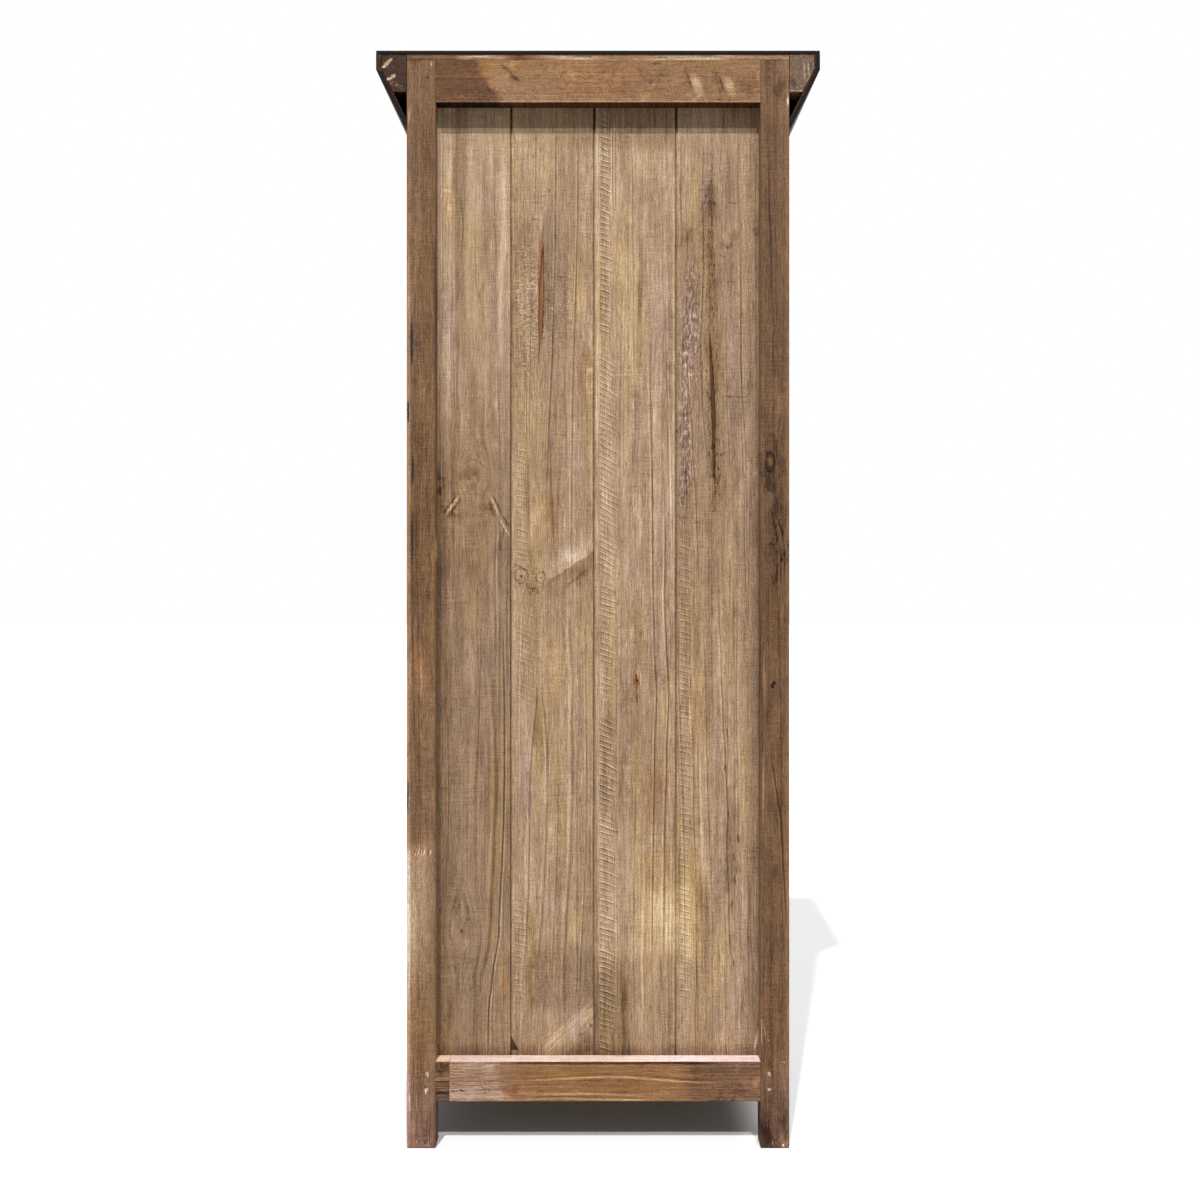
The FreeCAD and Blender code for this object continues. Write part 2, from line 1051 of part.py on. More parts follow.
# The whole cabinet as node names and lists of solids
def cabinet():
    into_rails = rail_nails()
    into_boards = board_nails()
    screws = hinge_screws(1)
    leaves = [hinge_leaf(middle, 1).cut(bodies_only(screws)) for middle in hinge_middles]
    recesses = [leaf_recess(middle, 1) for middle in hinge_middles]
    catch_body, magnet = catch_parts()
    into_catch = catch_screws()
    nodes = {}

    post = front_post(recesses, bodies_only(screws))
    nodes["front_right_post"] = [post]
    nodes["front_left_post"] = [mirrored(post)]
    post = rear_post(into_rails)
    nodes["rear_right_post"] = [post]
    nodes["rear_left_post"] = [mirrored(post)]

    rail_face = back - back_rail_thickness
    (low, high), (upper_low, upper_high) = back_rail_spans()
    bottom = cross_rail(rail_face, back, low, high, opening_half - packing_width)
    nodes["back_bottom_rail"] = [bottom.cut(into_rails + into_boards)]
    nodes["back_rail_packing_blocks"] = [
        one.cut(into_boards) for one in packing_blocks(bottom)
    ]
    top = cross_rail(rail_face, back, upper_low, upper_high, opening_half)
    nodes["back_top_rail"] = [top.cut(into_rails + into_boards)]
    for number, board in enumerate(back_boards(into_boards)):
        nodes["back_board_%d" % (number + 1)] = [board]

    rail_rear = front + front_rail_thickness
    (low, high), (upper_low, upper_high) = front_rail_spans()
    nodes["front_bottom_rail"] = [cross_rail(front, rail_rear, low, high, opening_half)]
    upper = cross_rail(front, rail_rear, upper_low, upper_high, opening_half)
    catch_bodies = solids_of(bodies_only(into_catch))
    nodes["front_top_rail"] = [
        upper.cut(catch_bodies + [mirrored(one) for one in catch_bodies])
    ]
    for name, span in (("bottom", (low, high)), ("top", (upper_low, upper_high))):
        rail = side_rail(*span)
        nodes["side_%s_rail_right" % name] = [rail]
        nodes["side_%s_rail_left" % name] = [mirrored(rail)]
    nodes["side_boards_right"] = side_boards()
    nodes["side_boards_left"] = [mirrored(board) for board in side_boards()]

    nodes["floor_board"] = [floor_board()]
    for number, shelf in enumerate(shelves()):
        nodes["shelf_%d" % (number + 1)] = [shelf]
    nodes["shelf_cleats"] = cleats()
    nodes["top_board"] = [top_board()]
    nodes["top_cover"] = [top_cover()]
    nodes["crown_front"] = [crown_front()]
    nodes["crown_right"] = [crown_side()]
    nodes["crown_left"] = [mirrored(crown_side())]
    nodes["crown_blocks"] = crown_blocks()

    nodes["back_rail_nails"] = into_rails
    nodes["back_board_nails"] = into_boards
    nodes["hinge_post_leaves"] = both_of(leaves)
    nodes["hinge_pins"] = both_of([hinge_pin(middle) for middle in hinge_middles])
    catch_body = catch_body.cut([magnet] + bodies_only(into_catch))
    nodes["magnetic_catches"] = both_of([catch_body, magnet])
    nodes["carcass_screws"] = both_of(finished_screws(screws + into_catch))

    for name, solids in right_door().items():
        nodes["right_door_" + name] = solids
        nodes["left_door_" + name] = [mirrored(solid) for solid in solids]
    return nodes


def both_of(shapes):
    return shapes + [mirrored(shape) for shape in shapes]


def save(nodes):
    os.makedirs("parts", exist_ok=True)
    for name, shapes in nodes.items():
        solids = solids_of(shapes)
        for solid in solids:
            if not solid.isValid() or solid.Volume <= 0:
                raise ValueError("a solid of %s is not sound" % name)
        whole = solids[0] if len(solids) == 1 else Part.makeCompound(solids)
        whole.exportStep("parts/%s.step" % name)
    print("%d nodes, %d solids" % (len(nodes), sum(len(solids_of(s)) for s in nodes.values())))


save(cabinet())
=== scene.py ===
import math
import bpy
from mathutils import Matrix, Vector


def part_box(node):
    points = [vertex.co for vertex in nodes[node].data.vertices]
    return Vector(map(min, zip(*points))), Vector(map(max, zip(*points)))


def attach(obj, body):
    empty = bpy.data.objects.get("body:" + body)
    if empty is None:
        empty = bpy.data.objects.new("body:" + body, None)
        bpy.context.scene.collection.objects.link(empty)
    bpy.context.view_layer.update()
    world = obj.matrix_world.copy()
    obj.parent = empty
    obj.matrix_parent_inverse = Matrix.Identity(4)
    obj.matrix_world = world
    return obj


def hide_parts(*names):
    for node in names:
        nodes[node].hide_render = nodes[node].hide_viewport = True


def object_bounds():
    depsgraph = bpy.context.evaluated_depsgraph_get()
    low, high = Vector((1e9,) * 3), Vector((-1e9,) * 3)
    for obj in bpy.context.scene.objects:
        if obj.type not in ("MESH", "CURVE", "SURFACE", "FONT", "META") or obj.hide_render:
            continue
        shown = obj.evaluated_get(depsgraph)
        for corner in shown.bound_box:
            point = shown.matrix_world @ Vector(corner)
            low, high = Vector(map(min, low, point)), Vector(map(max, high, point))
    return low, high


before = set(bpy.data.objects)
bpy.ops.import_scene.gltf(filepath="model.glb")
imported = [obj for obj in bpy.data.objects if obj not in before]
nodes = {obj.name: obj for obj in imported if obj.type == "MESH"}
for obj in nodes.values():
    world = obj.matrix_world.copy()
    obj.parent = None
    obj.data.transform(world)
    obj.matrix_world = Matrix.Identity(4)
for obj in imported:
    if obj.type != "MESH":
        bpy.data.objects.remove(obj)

cad_box = [list(corner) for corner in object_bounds()]


# Rear posts: square lengths of pine that run down past the rails as feet, brushed with a thin walnut
# stain that took unevenly. One was wiped pale low down, the other has a dark knot, and both feet are
# scuffed.
class Shade:
    # One socket of a material. Arithmetic on it adds the Math nodes that work the sum out.
    def __init__(self, socket):
        self.socket = socket

    def node(self, kind, settings, values, output=0):
        made = self.socket.id_data.nodes.new("ShaderNode" + kind)
        for name, setting in settings.items():
            if name == "stops":
                set_stops(made.color_ramp, setting)
            elif name == "curve":
                made.color_ramp.interpolation = setting
            else:
                setattr(made, name, setting)
        for name, value in values.items():
            if isinstance(value, Shade):
                value.socket.id_data.links.new(value.socket, made.inputs[name])
            else:
                made.inputs[name].default_value = value
        return Shade(made.outputs[output])

    def calc(self, operation, *terms):
        return self.node("Math", {"operation": operation}, dict(enumerate(terms)))

    def __add__(self, other):
        return self.calc("ADD", self, other)

    def __sub__(self, other):
        return self.calc("SUBTRACT", self, other)

    def __rsub__(self, other):
        return self.calc("SUBTRACT", other, self)

    def __mul__(self, other):
        return self.calc("MULTIPLY", self, other)

    def __truediv__(self, other):
        return self.calc("DIVIDE", self, other)

    def __pow__(self, other):
        return self.calc("POWER", self, other)

    def __abs__(self):
        return self.calc("ABSOLUTE", self)

    __radd__ = __add__
    __rmul__ = __mul__


def set_stops(ramp, stops):
    while len(ramp.elements) < len(stops):
        ramp.elements.new(1.0)
    for element, (place, colour) in zip(ramp.elements, stops):
        element.position = place
        element.color = (*colour, 1.0)[:4]


def new_material(name):
    made = bpy.data.materials.new(name)
    made.use_nodes = True
    made.node_tree.nodes.clear()
    place = made.node_tree.nodes.new("ShaderNodeTexCoord").outputs["Object"]
    return made, Shade(place)


def finish_material(made, colour, rough, height, depth, metal=0.0, shine=0.5):
    # Height runs from 0 to 1 over the given depth of relief, in metres
    bump = colour.node("Bump", {}, {"Height": height, "Strength": 1.0, "Distance": depth})
    values = {"Base Color": colour, "Roughness": rough, "Normal": bump}
    values["Metallic"] = metal
    values["Specular IOR Level"] = shine
    surface = colour.node("BsdfPrincipled", {}, values)
    output = made.node_tree.nodes.new("ShaderNodeOutputMaterial")
    made.node_tree.links.new(surface.socket, output.inputs["Surface"])
    return made


def vector(first, second, third):
    shade = next(v for v in (first, second, third) if isinstance(v, Shade))
    return shade.node("CombineXYZ", {}, {0: first, 1: second, 2: third})


def parts_of(place):
    return [place.node("SeparateXYZ", {}, {0: place}, axis) for axis in range(3)]


def cloud(place, stretch, detail=3.0, rough=0.55):
    # Noise from 0 to 1, with about the given number of lumps in a metre along each axis
    scaled = place.node("VectorMath", {"operation": "MULTIPLY"}, {0: place, 1: stretch})
    values = {"Vector": scaled, "Scale": 1.0, "Detail": detail, "Roughness": rough}
    return place.node("TexNoise", {}, values)


def rise(value, low, high, start=0.0, end=1.0):
    settings = {"interpolation_type": "SMOOTHSTEP"}
    values = {0: value, 1: low, 2: high, 3: start, 4: end}
    return value.node("MapRange", settings, values)


def between(value, low, full, fading, high):
    return rise(value, low, full) * rise(value, high, fading)


def mix(first, second, share, blend="MIX"):
    settings = {"data_type": "RGBA", "blend_type": blend}
    return share.node("Mix", settings, {0: share, 6: first, 7: second}, 2)


def tint(colour, share, hue):
    # Multiplies the colour by a hue where the share is 1
    return mix(colour, (*hue, 1.0), share, "MULTIPLY")


def oval(face, middle, reach):
    # Distance from the middle of an oval on the piece's face, 1 at its edge
    scale = (1.0 / reach[0], 1.0 / reach[1], 0.0)
    shift = (-middle[0] / reach[0], -middle[1] / reach[1], 0.0)
    away = face.node("VectorMath", {"operation": "MULTIPLY_ADD"}, {0: face, 1: scale, 2: shift})
    return away.node("VectorMath", {"operation": "LENGTH"}, {0: away}, 1)


def patch(face, middle, reach, soft=0.0, strength=1.0):
    return rise(oval(face, middle, reach), 1.0, soft, 0.0, strength)


def stroke(face, start, end, width, soft=0.0, strength=1.0):
    # A long thin patch from one point of the face to another. The third number of a face is 1.
    half = math.dist(start, end) / 2
    lean = ((end[0] - start[0]) / half / 2, (end[1] - start[1]) / half / 2)
    middle = ((start[0] + end[0]) / 2, (start[1] + end[1]) / 2)
    shares = []
    for turned, reach in ((lean, half), ((-lean[1], lean[0]), width / 2)):
        shift = turned[0] * middle[0] + turned[1] * middle[1]
        weights = (turned[0] / reach, turned[1] / reach, -shift / reach)
        shares.append(face.node("VectorMath", {"operation": "DOT_PRODUCT"}, {0: face, 1: weights}, 1))
    along, beside = shares
    return rise(along * along + beside * beside, 1.0, soft, 0.0, strength)


# How much of the tone's range one unit of strength is, in each kind of list below. A negative strength
# darkens, and all lengths in these lists are in millimetres.
mark_unit, stroke_unit, course_unit, chatter_unit = 0.0125, 0.012, 0.02, 0.01


def in_metres(*lengths):
    return [length / 1000.0 for length in lengths]


def add_marks(tone, face, marks):
    # Each mark is (strength, middle across and up, reach across and up)
    for strength, *lengths in marks:
        x, z, wide, high = in_metres(*lengths)
        tone += patch(face, (x, z), (wide, high), 0.0, strength * mark_unit)
    return tone


def add_strokes(tone, face, strokes, soft=0.0):
    # Each stroke is (strength, start across and up, end across and up, width)
    for strength, *lengths in strokes:
        x, z, end_x, end_z, width = in_metres(*lengths)
        tone += stroke(face, (x, z), (end_x, end_z), width, soft, strength * stroke_unit)
    return tone


def add_tints(colour, face, tints):
    # Each tint is (hue, middle across and up, reach across and up)
    for hue, *lengths in tints:
        x, z, wide, high = in_metres(*lengths)
        colour = tint(colour, patch(face, (x, z), (wide, high), 0.2), hue)
    return colour


def along_piece(along, stops):
    # A value that changes along a piece, from stops of (place along it in metres, value from 0 to 1)
    low, high = stops[0][0], stops[-1][0]
    share = along.node("MapRange", {}, {0: along, 1: low, 2: high})
    places = [((place - low) / (high - low), (0.0, 0.0, 0.0, value)) for place, value in stops]
    return share.node("ValToRGB", {"stops": places, "curve": "CARDINAL"}, {0: share}, 1)


def add_courses(tone, across, along, courses):
    # Lines of dense wood that wander along the piece. Each is (strength, width, and its points as
    # (place along, place across)), with a paler edge beside the line, on its other side where the width
    # is negative.
    span = 0.1
    profile = ((0.0, 0.3), (0.36, 0.3), (0.5, 1.0), (0.6, 0.3), (0.7, 0.0), (0.85, 0.3), (1.0, 0.3))
    for strength, width, *points in courses:
        points = [in_metres(*point) for point in points]
        low, high = points[0][0], points[-1][0]
        nearest = min(spot for place, spot in points)
        course = along_piece(along, [(place, (spot - nearest) / span) for place, spot in points])
        off = across - course * span
        across_line = [(nearest + (share - 0.5) * 0.004 * width, value) for share, value in profile]
        line = along_piece(off, across_line) - 0.3
        fade = (high - low) * 0.15
        ends = rise(along, low, low + fade) * rise(along, high, high - fade, 0.0, strength * course_unit)
        tone += line * ends
    return tone


def stained_colour(tone):
    stops = [
        (0.1, (0.006, 0.003, 0.002)),
        (0.25, (0.047, 0.022, 0.011)),
        (0.4, (0.133, 0.069, 0.035)),
        (0.5, (0.218, 0.121, 0.062)),
        (0.6, (0.325, 0.186, 0.098)),
        (0.7, (0.456, 0.288, 0.17)),
        (0.85, (0.7, 0.53, 0.4)),
        (1.0, (0.98, 0.88, 0.8)),
    ]
    return tone.node("ValToRGB", {"stops": stops}, {0: tone})


def plain_hue(colour, face, loose, x, z):
    return colour


golden = (1.02, 0.99, 0.86)
olive = (0.95, 0.95, 0.76)
lilac = (0.98, 0.975, 1.09)
rust = (1.12, 0.8, 0.56)
orange = (1.05, 0.95, 0.83)


def growth_lines(across, along, seed, spacing, thin):
    # Darker lines along the wood, at uneven distances, each fading in and out
    field = cloud(vector(across, along, seed), (1.0 / spacing, 0.45, 1.0), 0.0)
    strength = cloud(vector(across, along, seed + 5.0), (1.0 / spacing, 5.0, 1.0), 1.0)
    return rise(abs(field - 0.5), thin, 0.0) * rise(strength, 0.38, 0.62, 0.1, 1.0)


def pine(
    name, axes, seed, ramp, tone, hue=plain_hue, knots=(), bold=1.0, saw=0.2, lined=0.12, crack=None
):
    # Axes are those across, along and through the wood. Tone and hue take places on the face that
    # shows, exact and with loose edges, ramp turns the tone into a colour, and the grain squeezes past
    # each knot, given as (middle, reach). Crack is an open crack's (place across, y of the face it is
    # in, tone inside).
    made, place = new_material(name)
    split = parts_of(place)
    across, along, through = [split[axis] for axis in axes]
    x, z = split[0], split[2] if axes[2] == 1 else split[1]
    start = 5.7 * seed
    ragged = cloud(vector(x, z, start), (330.0, 200.0, 1.0), 2.0)
    drift = cloud(vector(x, z + start, start), (38.0, 22.0, 1.0), 3.0, 0.6)
    sway = cloud(vector(x + start, z, start), (38.0, 22.0, 1.0), 3.0, 0.6)
    face = vector(x + (ragged - 0.5) * 0.004, z + (ragged - 0.5) * 0.008, 1.0)
    loose = vector(x + (drift - 0.5) * 0.045, z + (sway - 0.5) * 0.1, 1.0)
    wander = cloud(vector(across + start, along, through), (4.0, 1.0, 4.0), 2.0)
    waver = cloud(vector(across, along + start, through), (45.0, 9.0, 45.0), 2.0)
    bent = across + (wander - 0.5) * 0.022 + (waver - 0.5) * 0.006
    for middle, reach in knots:
        near = rise(oval(face, middle, (reach[0] * 2.6, reach[1] * 3.2)), 1.0, 0.25)
        bent = bent - (across - middle[0]) * near * 0.8
    fibre = cloud(vector(bent + start, along, through), (640.0, 16.0, 640.0), 3.0, 0.6)
    streak = cloud(vector(bent, along + start, through), (150.0, 2.0, 150.0), 4.0, 0.66)
    broad = cloud(vector(bent, along - start, through), (36.0, 1.3, 36.0), 2.0)
    speckle = cloud(vector(across + start, along, through), (560.0, 330.0, 560.0), 2.0, 0.7)
    pores = cloud(vector(bent - start, along, through), (520.0, 60.0, 520.0), 1.0)
    ripple = cloud(vector(across, along + start, through), (26.0, 420.0, 26.0), 2.0, 0.6)
    blotch = cloud(vector(across + start, along, through), (30.0, 11.0, 30.0), 5.0, 0.66)
    spell = rise(cloud(vector(across - start, along, through), (20.0, 9.0, 20.0), 2.0), 0.42, 0.58)
    lines = growth_lines(bent, along, start, 0.022, 0.03)
    lines = lines + 0.5 * growth_lines(bent, along, start + 20.0, 0.009, 0.05)
    bright = tone(face, loose, x, z) + bold * (
        (streak - 0.5) * 0.27
        + (fibre - 0.5) * 0.42
        + (broad - 0.5) * 0.18
        + (speckle - 0.5) * 0.4
        + (blotch - 0.5) * 0.28
        - rise(pores, 0.6, 0.67) * 0.09
        + rise(pores, 0.4, 0.34) * 0.06
    )
    bright = bright + (ripple - 0.5) * saw * spell - lines * lined
    colour = hue(ramp(bright), face, loose, x, z)
    mood = cloud(vector(bent, along, start), (32.0, 2.6, 1.0), 3.0, 0.6)
    colour = tint(colour, rise(mood, 0.5, 0.64), (1.01, 0.995, 0.88))
    colour = tint(colour, rise(mood, 0.48, 0.36), (0.985, 0.985, 1.05))
    if crack is not None:
        crack_x, surface, inside = crack
        opened = rise(through, surface - 0.0003, surface - 0.0009)
        opened = opened * rise(abs(x - crack_x), 0.015, 0.013) * rise(through, 0.193, 0.1945)
        torn = ramp(inside + (fibre - 0.5) * 0.3)
        colour = mix(colour, tint(torn, opened, rust), opened)
    rough = rise(bright, 0.2, 0.9, 0.66, 0.86)
    height = 0.5 + (fibre - 0.5) * 0.6 + (speckle - 0.5) * 0.4 + (ripple - 0.5) * saw - lines * 0.3
    return finish_material(made, colour, rough, height, 0.0005, shine=0.18)


def dress(node, material):
    slots = nodes[node].data.materials
    slots.clear()
    slots.append(material)


upright = (0, 2, 1)
post_low, post_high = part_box("rear_right_post")


def right_post_tone(face, loose, x, z):
    tone = along_piece(z, (
        (0.0, 0.48), (0.08, 0.5), (0.2, 0.5), (0.8, 0.465), (1.12, 0.43), (1.81, 0.48),
    ))
    tone += 0.17 * rise(x, post_high.x - 0.0085, post_high.x - 0.004) * rise(z, 1.75, 1.3, 0.15, 1.0)
    # The post's inner side face is painted lighter, as painted light lifting the shade of the recess it
    # faces
    tone += 0.12 * rise(x, post_low.x + 0.0008, post_low.x + 0.0001)
    # The pale stretch ends above in a row of knife cuts and fades away below
    wiped = rise(z + (x - 0.295) * 0.4, 0.518, 0.494) * rise(z, 0.24, 0.42)
    wiped = wiped * rise(x, 0.276, 0.292, 0.35, 1.0)
    tone += 0.15 * wiped
    tone += 0.09 * rise(x, 0.296, 0.308) * between(z, 0.18, 0.3, 0.36, 0.46)
    tone += 0.08 * between(z, 0.73, 0.78, 0.79, 0.87) * rise(x, 0.278, 0.29)
    for cut_x in (0.3035, 0.299, 0.2945, 0.29, 0.28):
        tone += stroke(face, (cut_x + 0.002, 0.485), (cut_x - 0.0025, 0.501), 0.003, 0.0, 0.18)
        tone += stroke(face, (cut_x + 0.0046, 0.486), (cut_x + 0.0001, 0.502), 0.0026, 0.0, -0.18)
    tone = add_marks(tone, loose, (
        (-9, 300, 1806, 22, 11), (-7, 279, 930, 10, 26), (7, 288, 1265, 8, 14), (-6, 296, 1160, 14, 90),
        (5, 298, 1560, 10, 120), (-5, 282, 620, 8, 18), (-10, 283, 35, 14, 34),
    ))
    tone = add_marks(tone, face, (
        (22, 278, 1808, 3.4, 5), (-24, 284, 1785.5, 2.4, 3), (-13, 280.5, 1797, 2.4, 2.4),
        (7, 287, 1793, 5, 4), (-9, 274, 923, 1.4, 6), (-10, 293.5, 1755.5, 2.2, 1.8),
        (10, 295.5, 1758, 1.4, 4), (18, 315, 1720, 1.6, 20),
    ))
    tone = add_strokes(tone, face, (
        (46, 283, 127.5, 283.8, 117.5, 2.8), (46, 286.6, 101, 287.4, 89, 2.8),
        (13, 314.5, 100, 314, 55, 4), (10, 303, 95, 301, 55, 2.6), (16, 270.5, 1030, 271.2, 970, 3),
        (8, 295, 840, 294, 740, 4), (10, 311.5, 250, 312, 190, 1.6),
    ))
    scuffs = cloud(face, (420.0, 130.0, 1.0), 2.0)
    worn_foot = patch(face, (0.291, 0.008), (0.02, 0.015), 0.3)
    return tone + 0.5 * rise(scuffs, 0.53, 0.66) * worn_foot


def right_post_hue(colour, face, loose, x, z):
    colour = tint(colour, rise(z, 0.22, 0.03), (1.0, 0.98, 1.32))
    colour = tint(colour, between(z, 0.2, 0.26, 0.47, 0.5), (0.99, 1.06, 1.2))
    colour = add_tints(colour, loose, (
        (orange, 296, 800, 20, 60), (rust, 300, 1806, 20, 9), (lilac, 316, 1300, 4, 150),
    ))
    # Splashes of the front's paint along the outer arris
    splashed_paint = (0.028, 0.027, 0.034, 1.0)
    for low, high, place, width in (
        (1.298, 1.385, 0.3106, 0.006), (1.1, 1.16, 0.3088, 0.0052), (0.965, 1.065, 0.3096, 0.0052),
        (1.205, 1.25, 0.3165, 0.004), (0.55, 0.62, 0.3168, 0.0028),
    ):
        colour = mix(colour, splashed_paint, stroke(face, (place, low), (place, high), width, 0.4))
    return colour


def left_post_tone(face, loose, x, z):
    tone = along_piece(z, (
        (0.0, 0.37), (0.06, 0.39), (0.12, 0.455), (0.2, 0.445), (0.6, 0.435), (1.0, 0.395),
        (1.2, 0.435), (1.81, 0.45),
    ))
    tone += 0.06 * rise(x, -post_high.x + 0.009, -post_high.x + 0.003)
    # The post's inner side face is painted lighter, as painted light lifting the shade of the recess it
    # faces
    tone += 0.12 * rise(x, -post_low.x - 0.0008, -post_low.x - 0.0001)
    tone = add_marks(tone, loose, (
        (-10, -306, 1772, 16, 22), (-7, -284, 1115, 14, 30), (5, -300, 1250, 14, 70),
        (5, -309, 125, 12, 45), (-10, -280, 30, 14, 44), (-10, -311, 52, 6, 20), (12, -309, 14, 13, 22),
        (-4, -298, 560, 20, 80),
    ))
    # The knot, and the dark rippled wood below it
    away = oval(face, (-0.2868, 1.144), (0.0078, 0.0172))
    rings = away.calc("SINE", away * 16.0)
    tone -= 0.06 * rise(rings, -0.2, 0.8) * rise(away, 1.05, 0.8)
    tone -= 0.13 * rise(abs(away - 0.86), 0.42, 0.06)
    halo = oval(loose, (-0.289, 1.14), (0.0165, 0.042))
    tone = tone - 0.06 * rise(abs(halo - 0.92), 0.14, 0.02) - 0.05 * rise(halo, 1.1, 0.7)
    tone = add_marks(tone, face, (
        (-15, -283.2, 1158, 6.6, 6), (12, -287.2, 1144, 3, 8), (-50, -293.2, 775.6, 4, 4.6),
        (-50, -290.8, 770, 3.8, 4.6), (-14, -274.5, 1173, 1.6, 6), (-14, -279.5, 1364, 2, 6),
        (-12, -285.5, 1785, 2.6, 3), (-12, -294, 1788.5, 2.2, 4), (-12, -301, 880, 2.8, 5),
        (46, -285.5, 123.2, 2.2, 2.8), (36, -288, 98, 2, 3), (20, -310, 144, 2.4, 2.4),
        (44, -291, 9, 1.4, 7), (50, -309.2, 4.5, 3, 2.8), (-10, -312.5, 306, 2.6, 3),
        (-10, -290, 1518, 1.4, 6),
    ))
    ripples = cloud(face, (190.0, 46.0, 1.0), 3.0, 0.7)
    rippled = patch(loose, (-0.299, 1.0), (0.024, 0.11), 0.3)
    tone -= (0.03 + 0.2 * rise(ripples, 0.5, 0.6)) * rippled
    tone -= 0.06 * patch(loose, (-0.296, 1.065), (0.02, 0.026), 0.2)
    tone = add_courses(tone, x, z, (
        (-12, 3.4, (360, -314), (460, -309.2), (520, -306), (570, -301.2), (660, -288.5)),
        (-10, 3, (950, -311), (1020, -308), (1060, -296)),
        (-9, 3, (930, -305), (1000, -302), (1060, -289)),
        (-7, 2.6, (1080, -306), (1140, -300), (1180, -298.5), (1240, -306)),
    ))
    tone = add_strokes(tone, face, (
        (15, -275.2, 675, -275.2, 500, 4.6), (12, -276.5, 830, -279, 720, 5),
        (22, -273.5, 160, -272.4, 230, 2.6), (18, -274.5, 215, -280, 180, 2),
        (22, -280, 181.5, -288, 180, 2), (34, -317.2, 1758, -316, 1732, 3),
    ))
    scuffs = rise(cloud(face, (300.0, 160.0, 1.0), 2.0), 0.57, 0.67)
    return tone + 0.16 * scuffs * patch(face, (-0.302, 0.012), (0.02, 0.016), 0.3)


def left_post_hue(colour, face, loose, x, z):
    colour = tint(colour, rise(z, 0.2, 0.05), (1.0, 0.99, 1.22))
    colour = tint(colour, patch(face, (-0.2872, 1.143), (0.005, 0.011), 0.3), (1.12, 1.0, 0.72))
    return tint(colour, patch(face, (-0.2765, 0.18), (0.006, 0.03)), (0.95, 1.0, 1.2))


for side, seed, tone, hue, bold in (
    ("right", 1, right_post_tone, right_post_hue, 0.8), ("left", 2, left_post_tone, left_post_hue, 0.7),
):
    material = pine(side + "_post_pine", upright, seed, stained_colour, tone, hue, bold=bold)
    dress("rear_%s_post" % side, material)


# Back rails: two lengths of pine tenoned between the rear posts, stained warmer than the posts. The top
# one has a dark end, two rubbed smears, painted shade on its underside and a painted highlight along
# its lower arris; the bottom one a bleached end, a painted highlight low on its face, and a top face
# painted pale for its dust and for a painted sheen.
lengthwise = (2, 0, 1)
top_rail_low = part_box("back_top_rail")[0]
bottom_rail_low, bottom_rail_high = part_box("back_bottom_rail")


